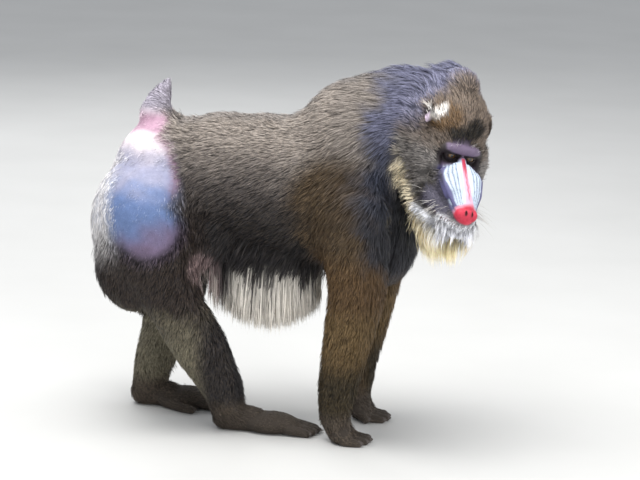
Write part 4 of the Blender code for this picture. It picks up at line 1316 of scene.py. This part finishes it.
@dataclass(frozen=True)
class FloorFinish:
    """A plain pale floor."""

    darker: Triple = (0.50, 0.50, 0.49)
    paler: Triple = (0.56, 0.56, 0.55)

    def make(self) -> bpy.types.Material:
        """The material."""
        b = Board("pale_floor")
        cloud = b.noise(b.place(), 3.0)
        b.set(Base_Color=b.mixed(self.darker, self.paler, cloud), Roughness=0.9)
        return b.material


def store(mesh: bpy.types.Mesh, name: str, values: Array) -> None:
    """Stores a value or a colour for each vertex."""
    if values.ndim == 1:
        layer = mesh.attributes.new(name, "FLOAT", "POINT")
        layer.data.foreach_set("value", values.astype(np.float32))
    else:
        layer = mesh.attributes.new(name, "FLOAT_COLOR", "POINT")
        rgba = np.column_stack([values, np.ones(len(values))])
        layer.data.foreach_set("color", rgba.astype(np.float32).ravel())


def settle(
    obj: bpy.types.Object,
    finish: bpy.types.Material,
    shift: Vector,
    nodes: Sequence[str],
) -> None:
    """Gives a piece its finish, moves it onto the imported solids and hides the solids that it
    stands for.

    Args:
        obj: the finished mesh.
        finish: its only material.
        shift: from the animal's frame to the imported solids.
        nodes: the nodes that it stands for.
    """
    obj.data.materials.clear()
    obj.data.materials.append(finish)
    obj.data.transform(Matrix.Translation(shift))
    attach(obj, "root")
    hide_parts(*nodes)
    mesh = obj.data
    mesh.calc_loop_triangles()
    LOG.info("%s: %d triangles", obj.name, len(mesh.loop_triangles))


@dataclass
class Skin:
    """One skin over head, body, ears, hands and feet, inset by the coat's depth."""

    body: Body
    head: Head
    hide: Hide
    obj: bpy.types.Object | None = None
    sink: float = 0.85

    def build(self) -> None:
        """Fuses body and head, presses the skin in under the coat and stores the markings with
        their painted light and shade.
        """
        self.obj = combined(self.body.build(), self.head.build(), "UNION")
        self.obj.name = "mandrill_skin"
        floor = Masses()
        size = 4.0
        under = Matrix.Translation((0, 0, GROUND - size / 2))
        bmesh.ops.create_cube(floor.bm, size=size, matrix=under)
        combined(self.obj, floor.made("floor_cut"), "DIFFERENCE")
        self.drop_scraps()
        p, _, normal = arrays(self.obj)
        f = self.hide.fields(p)
        sunk = f["rise"] * self.sink * np.clip(f["cover"], 0, 1)
        p = p - normal * sunk[:, None]
        p[:, 2] = np.maximum(p[:, 2], GROUND)
        self.obj.data.vertices.foreach_set("co", p.astype(np.float32).ravel())
        store(self.obj.data, "tint", f["tint"])
        store(self.obj.data, "bare", f["bare"])
        self.obj.data.shade_smooth()

    def drop_scraps(self) -> None:
        """Keeps only the largest closed surface."""
        bm = bmesh.new()
        bm.from_mesh(self.obj.data)
        left = set(bm.verts)
        largest: set = set()
        while left:
            front = [left.pop()]
            found = set(front)
            while front:
                for edge in front.pop().link_edges:
                    for other in edge.verts:
                        if other not in found:
                            found.add(other)
                            front.append(other)
            left -= found
            if len(found) > len(largest):
                largest = found
        bmesh.ops.delete(bm, geom=[v for v in bm.verts if v not in largest], context="VERTS")
        bm.to_mesh(self.obj.data)
        bm.free()

    def unwrap(self) -> Array:
        """Unwraps the skin's shape and gives the map at each triangle's corners, (m, 3, 2)."""
        bpy.ops.object.select_all(action="DESELECT")
        self.obj.select_set(True)
        bpy.context.view_layer.objects.active = self.obj
        bpy.ops.object.mode_set(mode="EDIT")
        bpy.ops.mesh.select_all(action="SELECT")
        bpy.ops.uv.smart_project(angle_limit=math.radians(75), island_margin=0.002)
        bpy.ops.object.mode_set(mode="OBJECT")
        mesh = self.obj.data
        mesh.calc_loop_triangles()
        uv = np.empty(len(mesh.loops) * 2)
        mesh.uv_layers.active.data.foreach_get("uv", uv)
        loops = np.empty(len(mesh.loop_triangles) * 3, np.int32)
        mesh.loop_triangles.foreach_get("loops", loops)
        mesh.uv_layers.remove(mesh.uv_layers.active)
        return uv.reshape(-1, 2)[loops].reshape(-1, 3, 2)


@dataclass
class Strands:
    """Roots of many hairs with the path, lie and colour of each."""

    paths: Array
    up: Array
    width: Array
    tint: Array
    fleck: Array
    band: Array
    uv: Array
    part: Array

    def mesh(self, name: str, chosen: Array) -> bpy.types.Object:
        """One joined mesh of the chosen hairs, as bent blades that taper to a point.

        Args:
            name: the object's name.
            chosen: numbers of the hairs.

        Returns:
            The object, with its map, colours and soft normals.
        """
        path, up, width = self.paths[chosen], self.up[chosen], self.width[chosen]
        count, stations, _ = path.shape
        along = np.empty_like(path)
        along[:, 1:-1] = path[:, 2:] - path[:, :-2]
        along[:, 0] = path[:, 1] - path[:, 0]
        along[:, -1] = path[:, -1] - path[:, -2]
        along = unit(along)
        across = unit(np.cross(along, up))
        share = np.linspace(0, 1, stations)
        taper = np.interp(share, (0, 0.25, 0.6, 1), (0.75, 1.0, 0.8, 0.0))
        half = across * (width[:, None] * 0.5 * taper[None])[:, :, None]
        body = np.stack([path - half, path + half], 2)[:, :-1]
        per = (stations - 1) * 2 + 1
        verts = np.concatenate([body.reshape(count, per - 1, 3), path[:, -1:]], 1)
        soft = unit(0.78 * up + 0.22 * np.cross(across, along) * -1)
        normals = np.concatenate([np.repeat(soft[:, :-1], 2, axis=1), soft[:, -1:]], 1)
        quads = [(2 * k, 2 * k + 1, 2 * k + 3, 2 * k + 2) for k in range(stations - 2)]
        base = np.arange(count)[:, None] * per
        loop_row = np.array([c for q in quads for c in q] + [per - 3, per - 2, per - 1])
        loops = (base + loop_row).ravel()
        sizes = np.array([4] * len(quads) + [3])
        starts = np.concatenate([[0], np.cumsum(sizes)[:-1]])
        starts = (np.arange(count)[:, None] * sizes.sum() + starts).ravel()
        mesh = bpy.data.meshes.new(name)
        mesh.vertices.add(count * per)
        mesh.vertices.foreach_set("co", verts.astype(np.float32).ravel())
        mesh.loops.add(len(loops))
        mesh.loops.foreach_set("vertex_index", loops.astype(np.int32))
        mesh.polygons.add(len(starts))
        mesh.polygons.foreach_set("loop_start", starts.astype(np.int32))
        mesh.update(calc_edges=True)
        along_share = np.concatenate([np.repeat(share[:-1], 2), [1.0]])
        fleck, band = (np.repeat(values[chosen], per) for values in (self.fleck, self.band))
        store(mesh, "tint", np.repeat(self.tint[chosen], per, axis=0))
        store(mesh, "hair", np.stack([np.tile(along_share, count), fleck, band], 1))
        patch = np.stack([np.tile((0, 1), stations - 1) * 1.0, np.repeat(share[:-1], 2)], 1)
        patch = np.concatenate([patch, [(0.5, 1.0)]]) * PATCH
        uv = (self.uv[chosen][:, None] + patch[None]).reshape(-1, 2)
        layer = mesh.uv_layers.new(name="OFBake")
        layer.data.foreach_set("uv", uv[loops].astype(np.float32).ravel())
        mesh.shade_smooth()
        mesh.normals_split_custom_set_from_vertices(normals.reshape(-1, 3))
        return placed(name, mesh)


def within(values: Array, corners: Array, inside: Array) -> Array:
    """Values of the skin's vertices at places inside triangles.

    Args:
        values: one row or value for each vertex.
        corners: the three vertices of each place's triangle, (n, 3).
        inside: their weights, (n, 3).

    Returns:
        One row or value for each place.
    """
    return np.einsum("ij,ij...->i...", inside, values[corners])


@dataclass
class Coat:
    """Guides laid over the skin along the lie, and hairs gathered round them into tufts.

    Lengths are in metres. The six fields from aim_spread on say how far single hairs stray.
    """

    skin: Skin
    hide: Hide
    hairs: int = 262000
    guide_share: float = 0.075
    stretches: int = 3
    chin: Triple = (0.108, 0.0, -0.10)
    beard_foot: float = 0.343
    beard_slant: float = 1.15
    fringe_rear: float = -0.136
    fringe_span: float = 0.194
    fringe_foot: float = 0.190
    fringe_curve: float = 0.036
    more_fringe: float = 2.4
    more_beard: float = 2.6
    long_hair: float = 0.045
    droop: float = 0.25
    root_depth: float = 0.0015
    above_skin: float = 0.03
    blur: float = 0.0015
    aim_spread: float = 0.11
    gather: float = 0.30
    splay: float = 0.060
    wave: float = 0.022
    spin: float = 0.35
    width_range: tuple[float, float] = (0.7, 1.2)
    draw: np.random.Generator = field(default_factory=lambda: np.random.default_rng(11))

    def scattered(self, tris: Array, weight: Array, count: int) -> tuple[Array, Array]:
        """Draws triangles by weight, and a place inside each."""
        chosen = self.draw.choice(len(tris), count, p=weight / weight.sum())
        a, b = self.draw.random((2, count))
        flip = a + b > 1
        a, b = np.where(flip, 1 - a, a), np.where(flip, 1 - b, b)
        return chosen, np.stack([1 - a - b, a, b], 1)

    def hanging(self, place: Vector, normal: Vector, beard: bool) -> tuple[list, list]:
        """One guide that hangs from the chin or the belly, down to the hair's lower edge.

        Args:
            place: where it starts.
            normal: the skin's outward direction there.
            beard: whether it belongs to the beard and not to the belly fringe.

        Returns:
            Places and outward directions along it.
        """
        if beard:
            chin = POSE.matrix() @ Vector(self.chin)
            aside = Vector((place.x - chin.x, place.y - chin.y, 0))
            away = aside.normalized()
            foot = self.beard_foot + self.beard_slant * aside.length
        else:
            share = (place.x - self.fringe_rear) / self.fringe_span
            away = Vector((0.1, math.copysign(1.0, place.y), 0))
            foot = self.fringe_foot + self.fringe_curve * abs(2 * share - 1.05) ** 2
        length = max(0.03, (place.z - foot) * (0.80 + 0.22 * self.draw.random()))
        places = []
        for k in range(self.stretches + 1):
            s = k / self.stretches
            swing = away * 0.010 * math.sin(2.6 * s)
            swing = swing + normal * (0.006 * math.sin(1.6 * s) - 0.002)
            places.append(place + swing + Vector((0, 0, -1)) * (length * s))
        return places, [(away + 0.3 * normal).normalized()] * len(places)

    def lying(
        self, tree: BVHTree, place: Vector, normal: Vector, aim: Vector, length: float, rise: float
    ) -> tuple[list, list]:
        """One guide that follows the lie over the skin. Long ones sink under their weight.

        Args:
            tree: the skin's surface.
            place: where it starts.
            normal: the skin's outward direction there.
            aim: the lie.
            length: how long it is.
            rise: how high it ends above the skin.

        Returns:
            Places and outward directions along it.
        """
        drop = self.droop * (length > self.long_hair)
        places, outs = [], []
        for k in range(self.stretches + 1):
            s = k / self.stretches
            risen = math.sin(min(1.0, 1.25 * s) * math.pi / 2)
            lift = -self.root_depth + (rise + self.root_depth) * risen
            places.append(place + normal * lift)
            outs.append(normal)
            way = aim + Vector((0, 0, -1)) * (drop * s)
            way = (way - normal * way.dot(normal)).normalized()
            place, found, _, _ = tree.find_nearest(place + way * (length / self.stretches))
            normal = (normal + found).normalized()
        return places, outs

    def guide_paths(self, tree: BVHTree, root: Array, f: dict[str, Array]) -> tuple[Array, Array]:
        """Paths of the guides: along the lie over the skin, or hanging where the hair hangs.

        Args:
            tree: the skin's surface.
            root: where each guide starts.
            f: the hide's fields at the roots.

        Returns:
            Places and outward directions, each (n, stretches + 1, 3).
        """
        places = np.empty((len(root), self.stretches + 1, 3))
        outs = np.empty_like(places)
        for i, start in enumerate(root):
            place, normal, _, _ = tree.find_nearest(start)
            chin, belly = f["hang_chin"][i], f["hang_belly"][i]
            if max(chin, belly) > 0.35 and normal.z < 0.35:
                places[i], outs[i] = self.hanging(place, normal, chin > belly)
            else:
                aim, length, rise = Vector(f["aim"][i]), f["length"][i], f["rise"][i]
                places[i], outs[i] = self.lying(tree, place, normal, aim, length, rise)
        return places, outs

    def bent(self, start: Array, flow: Array, foot: Array, out: Array, length: Array) -> Array:
        """Paths of the hairs: along the flow, gathered to their guides, splayed and waved.

        Args:
            start: where each hair starts.
            flow: the mean path of the guides near it, from their roots.
            foot: the root of the nearest guide.
            out: the outward direction there.
            length: the nearest guide's length.

        Returns:
            Paths (n, stretches + 1, 3).
        """
        count = len(start)
        s = np.linspace(0, 1, self.stretches + 1)[None, :, None]
        reach = self.draw.uniform(0.62, 1.12, count)[:, None, None]
        pull = self.draw.uniform(0.0, self.gather, count)[:, None, None] * s**1.4
        paths = start[:, None] + flow * reach - (start - foot)[:, None] * pull
        splay = self.draw.normal(size=(count, 1, 3)) * (self.splay * length)[:, None, None]
        paths = paths + splay * (s**1.6)
        wave = self.draw.uniform(0, 6.28, (count, 1, 1)) + 5.0 * s
        side = unit(np.cross(paths[:, -1] - paths[:, 0], out))
        return paths + side[:, None] * np.sin(wave) * (self.wave * length)[:, None, None] * s

    def grow(self) -> list[tuple[Part, bpy.types.Object]]:
        """Grows the whole coat and splits it into its pieces."""
        p, tris, normal = arrays(self.skin.obj)
        uv = self.skin.unwrap()
        f = self.hide.fields(p)
        sides = p[tris[:, 1]] - p[tris[:, 0]], p[tris[:, 2]] - p[tris[:, 0]]
        names = ("cover", "length", "width", "hang_belly", "hang_chin")
        cover, length, width, belly, chin = (f[name][tris].mean(1) for name in names)
        weight = np.linalg.norm(np.cross(*sides), axis=1) * cover / (length * width) ** 0.85
        weight *= 1 + self.more_fringe * belly + self.more_beard * chin

        guides = int(self.hairs * self.guide_share)
        chosen, inside = self.scattered(tris, weight, guides)
        guide_root = within(p, tris[chosen], inside)
        guide = {key: within(values, tris[chosen], inside) for key, values in f.items()}
        jitter = self.draw.normal(size=guide_root.shape) * self.aim_spread
        guide["aim"] = unit(guide["aim"] + jitter)
        guide["length"] *= self.draw.uniform(0.85, 1.10, guides)
        tree = BVHTree.FromPolygons(p.tolist(), tris.tolist())
        places, outs = self.guide_paths(tree, guide_root, guide)
        kd = KDTree(guides)
        for i in range(guides):
            kd.insert(Vector(guide_root[i] + self.above_skin * outs[i, 0]), i)
        kd.balance()

        chosen, inside = self.scattered(tris, weight, self.hairs)
        root = within(p, tris[chosen], inside)
        n = unit(within(normal, tris[chosen], inside))
        found = [kd.find_n(Vector(q), 3) for q in root + self.above_skin * n]
        near = np.array([[hit[1] for hit in hits] for hits in found])
        share = 1 / (np.array([[hit[2] for hit in hits] for hits in found]) + self.blur)
        share /= share.sum(1, keepdims=True)
        flow = np.einsum("ij,ijkl->ikl", share, (places - places[:, :1])[near])
        first = near[:, 0]
        own = {key: within(values, tris[chosen], inside) for key, values in f.items()}
        start = root - n * self.root_depth
        paths = self.bent(start, flow, places[first, 0], outs[first, 0], guide["length"][first])
        spin = self.draw.normal(size=(self.hairs, 1, 3)) * self.spin
        strands = Strands(
            paths=paths,
            up=unit(outs[first] + spin),
            width=own["width"] * self.draw.uniform(*self.width_range, self.hairs),
            tint=np.clip(own["coat"], 0, 1),
            fleck=self.draw.random(self.hairs),
            band=self.banding(root),
            uv=np.einsum("ij,ijk->ik", inside, uv[chosen]),
            part=self.hide.part_of(root, own["hang_chin"], own["hang_belly"]),
        )
        keep = paths[:, :, 2].min(1) > HAIR_GROUND
        made = []
        for index, part in enumerate(Part):
            rows = np.flatnonzero((strands.part == index) & keep)
            if len(rows):
                made.append((part, strands.mesh(part.value[0], rows)))
        return made

    def banding(self, p: Array) -> Array:
        """How strongly hairs are banded with ochre: crown, back and limbs, not mane or fringe."""
        h = POSE.local(p)
        head = POSE.share(h)
        x, y, z = folded(p).T
        body = (1 - step(0.14, 0.20, x)) * step(-0.35, -0.31, x)
        body *= 1 - 0.7 * step(-0.2, -0.1, x) * (1 - step(0.34, 0.42, z)) * (y < 0.09)
        crown = step(0.0, 0.03, h[:, 2]) * step(-0.09, -0.05, h[:, 0])
        cheek = 0.7 * (1 - step(0.0, 0.03, h[:, 2])) * step(-0.12, -0.09, h[:, 2])
        return mix(body[:, None], np.maximum(crown, cheek)[:, None], head)[:, 0]


@dataclass
class Eyes:
    """Both eyeballs, with a clear bulge over the iris."""

    head: Head
    segments: int = 64
    rings: int = 48
    bulge: float = 0.0007

    def build(self, side: Side) -> bpy.types.Object:
        """One eye with its finish values stored."""
        bm = bmesh.new()
        turn = Matrix.Rotation(math.radians(90), 4, "Y")
        bmesh.ops.create_uvsphere(
            bm,
            u_segments=self.segments,
            v_segments=self.rings,
            radius=self.head.eye_radius,
            matrix=turn,
        )
        obj = from_bmesh("eye_ball_" + side.name.lower(), bm)
        mesh = obj.data
        co, _, normal = arrays(obj)
        off = np.where(co[:, 0] > 0, np.hypot(co[:, 1], co[:, 2]), 0.02)
        co += normal * (self.bulge * (1 - step(0.0045, 0.0075, off)))[:, None]
        mesh.vertices.foreach_set("co", co.astype(np.float32).ravel())
        store(mesh, "off_axis", off)
        x, y, z = self.head.eye_place
        mesh.transform(POSE.matrix() @ Matrix.Translation((x, side.value * y, z)))
        mesh.shade_smooth()
        return obj


@dataclass
class Nails:
    """Dark horn nails on the tips of fingers and toes."""

    body: Body
    size: Triple = (0.0062, 0.0040, 0.0026)
    offset: Triple = (0.0040, 0, 0.0036)
    tilt: float = 24.0

    def build(self) -> bpy.types.Object:
        """All nails as one joined mesh of small curved shells."""
        bm = bmesh.new()
        tilt = Matrix.Rotation(math.radians(self.tilt), 4, "Y")
        size = Matrix.Diagonal((*self.size, 1))
        for tip in self.body.tips:
            place = Matrix.Translation(tip + Vector(self.offset)) @ tilt @ size
            made = bmesh.ops.create_icosphere(bm, subdivisions=3, radius=1.0, matrix=place)
            for v in made["verts"]:
                v.co.z -= 6.0 * (v.co.y - tip.y) ** 2 / 0.02
        obj = from_bmesh("nails", bm)
        obj.data.shade_smooth()
        return obj


@dataclass
class Whiskers:
    """Long pale bristles on the lips, chin and brow, as thin tapered rods."""

    seed: int = 5
    radius: float = 0.00034
    sag: float = 0.28
    groups: tuple = (
        ((0.130, 0.036, -0.082), (0.022, 0.006, 0.009), 22, (0.5, 1.0, -0.30), 0.040),
        ((0.100, 0.046, -0.078), (0.018, 0.006, 0.008), 4, (-0.3, 1.0, -0.10), 0.034),
        ((0.120, 0.024, -0.124), (0.025, 0.010, 0.005), 20, (0.4, 0.6, -1.0), 0.030),
        ((0.082, 0.018, 0.018), (0.004, 0.012, 0.004), 5, (0.8, 0.2, 0.9), 0.026),
    )

    def build(self, tree: BVHTree) -> bpy.types.Object:
        """All bristles as one joined mesh, rooted on the skin."""
        draw = np.random.default_rng(self.seed)
        bm = bmesh.new()
        m = POSE.matrix()
        for side in Side:
            for centre, spread, count, aim, length in self.groups:
                for _ in range(count):
                    spot = np.array(centre) + draw.normal(size=3) * np.array(spread) * 0.6
                    spot[1] *= side.value
                    root, normal, _, _ = tree.find_nearest(m @ Vector(spot))
                    way = np.array(aim) * (1, side.value, 1) + draw.normal(size=3) * 0.22
                    way = (m.to_3x3() @ Vector(way)).normalized()
                    way = (way + normal * 0.4).normalized()
                    reach = length * draw.uniform(0.55, 1.15)
                    self.rod(bm, root - normal * 0.001, way, reach)
        obj = from_bmesh("whiskers", bm)
        obj.data.shade_smooth()
        return obj

    def rod(self, bm: bmesh.types.BMesh, root: Vector, way: Vector, reach: float) -> None:
        """One three-sided bristle that bends down under its weight."""
        rings = []
        side = way.orthogonal().normalized()
        other = way.cross(side)
        for k in range(5):
            s = k / 4
            point = root + way * (reach * s) + Vector((0, 0, -self.sag * reach * s * s))
            r = self.radius * (1 - 0.9 * s)
            spokes = (side * math.cos(t) + other * math.sin(t) for t in (0.0, 2.094, 4.189))
            rings.append([bm.verts.new(point + spoke * r) for spoke in spokes])
        for low, high in zip(rings, rings[1:]):
            for k in range(3):
                bm.faces.new((low[k], low[(k + 1) % 3], high[(k + 1) % 3], high[k]))
        bm.faces.new(rings[-1])
        bm.faces.new(rings[0][::-1])


@dataclass(frozen=True)
class Lamp:
    """One soft square lamp."""

    name: str
    place: Triple
    size: float
    watts: float
    colour: Triple


@dataclass
class Studio:
    """Camera at the photograph's angle, soft light and a pale floor."""

    azimuth: float = 10.0
    elevation: float = 12.0
    roll: float = 1.5
    distance: float = 5.0
    pixels_per_metre: float = 534.0
    centre_px: tuple[float, float] = (30.0, 186.0)
    width_px: float = 640.0
    sensor: float = 36.0
    clip_end: float = 60.0
    sky: tuple[float, float, float, float] = (0.92, 0.95, 1.0, 1.0)
    sky_strength: float = 0.66
    middle: Triple = (0.0, 0.0, 0.35)
    floor_size: float = 9.0
    lamps: tuple[Lamp, ...] = (
        Lamp("sky", (-0.4, -0.5, 3.2), 2.4, 135.0, (1.0, 0.99, 0.97)),
        Lamp("front", (2.2, -3.2, 1.5), 1.8, 60.0, (1.0, 0.98, 0.95)),
        Lamp("back", (-1.5, 3.0, 2.4), 2.2, 45.0, (1.0, 1.0, 1.0)),
        Lamp("fill", (2.8, 0.7, 0.9), 1.8, 24.0, (1.0, 0.99, 0.97)),
    )

    def camera(self, shift: Vector) -> None:
        """The camera, far off and narrow, so that it sees the animal almost without perspective."""
        a, e = math.radians(self.azimuth), math.radians(self.elevation)
        back = Vector((math.sin(a) * math.cos(e), -math.cos(a) * math.cos(e), math.sin(e)))
        up = Vector((-math.sin(a) * math.sin(e), math.cos(a) * math.sin(e), math.cos(e)))
        right = Vector((math.cos(a), math.sin(a), 0))
        across, high = (c / self.pixels_per_metre for c in self.centre_px)
        target = right * across + up * high + shift
        data = bpy.data.cameras.new("camera")
        data.sensor_width = self.sensor
        half = self.width_px / 2 / self.pixels_per_metre
        data.lens = data.sensor_width / 2 / (half / self.distance)
        data.clip_end = self.clip_end
        cam = placed("camera", data)
        turn = Matrix((right, up, back)).transposed().to_4x4()
        turn = turn @ Matrix.Rotation(math.radians(self.roll), 4, "Z")
        cam.matrix_world = Matrix.Translation(target + back * self.distance) @ turn
        bpy.context.scene.camera = cam

    def light(self) -> None:
        """Soft light from above, weaker fill from all round."""
        world = bpy.data.worlds.new("studio")
        world.use_nodes = True
        background = world.node_tree.nodes["Background"].inputs
        background["Color"].default_value = self.sky
        background["Strength"].default_value = self.sky_strength
        bpy.context.scene.world = world
        for lamp in self.lamps:
            data = bpy.data.lights.new(lamp.name, "AREA")
            data.size = lamp.size
            data.energy = lamp.watts
            data.color = lamp.colour
            obj = placed(lamp.name, data)
            obj.location = lamp.place
            aim = Vector(self.middle) - Vector(lamp.place)
            obj.rotation_mode = "QUATERNION"
            obj.rotation_quaternion = aim.to_track_quat("-Z", "Y")
        bpy.context.scene.view_settings.view_transform = "Standard"

    def floor(self) -> None:
        """The floor, a wide flat square."""
        bm = bmesh.new()
        bmesh.ops.create_grid(bm, x_segments=8, y_segments=8, size=self.floor_size)
        obj = from_bmesh("floor", bm)
        obj.data.materials.append(FloorFinish().make())


LIMBS = ("hand", "forearm", "upper_arm", "foot", "shank", "thigh", "ear")
FLESH = ["head", "jaw", "neck", "torso", "rump", "tail"]
FLESH += [f"{limb}_{side}" for limb in LIMBS for side in ("right", "left")]


def main() -> None:
    """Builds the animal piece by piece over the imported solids."""
    logging.basicConfig(level=logging.INFO, format="%(message)s")
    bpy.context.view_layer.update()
    head, body = Head(), Body()
    hide = Hide(head, body)
    low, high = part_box("eye_right")
    x, y, z = head.eye_place
    shift = (low + high) / 2 - POSE.matrix() @ Vector((x, -y, z))
    studio = Studio()
    studio.camera(shift)
    studio.light()
    studio.floor()

    skin = Skin(body, head, hide)
    skin.build()
    pieces = Coat(skin, hide).grow()
    co, tris, _ = arrays(skin.obj)
    tree = BVHTree.FromPolygons(co.tolist(), tris.tolist())
    hair = CoatFinish("banded_coat").make()
    mane = CoatFinish("mane", band_strength=0.12).make()
    pale = CoatFinish("pale_hair", band_strength=0.0, root_shade=0.8).make()
    finishes = {part: hair for part in Part}
    finishes.update({part: mane for part in (Part.MANTLE_RIGHT, Part.MANTLE_LEFT, Part.CHEST)})
    finishes.update({part: pale for part in (Part.FRINGE, Part.BEARD, Part.TAIL)})
    settle(skin.obj, SkinFinish().make(), shift, FLESH)
    for part, obj in pieces:
        _, nodes, slot = part.value
        settle(obj, finishes[part], shift, nodes.split())
    eyes, wet = Eyes(head), EyeFinish().make()
    for side in Side:
        settle(eyes.build(side), wet, shift, ["eye_" + side.name.lower()])
    horn = HornFinish("nail_horn", (0.060, 0.045, 0.038))
    palms = ("hand_right", "hand_left", "foot_right", "foot_left")
    settle(Nails(body).build(), horn.make(), shift, palms)
    bristle = HornFinish("bristle", (0.85, 0.82, 0.78))
    settle(Whiskers().build(tree), bristle.make(), shift, ("head",))


if __name__ == "__main__":
    main()
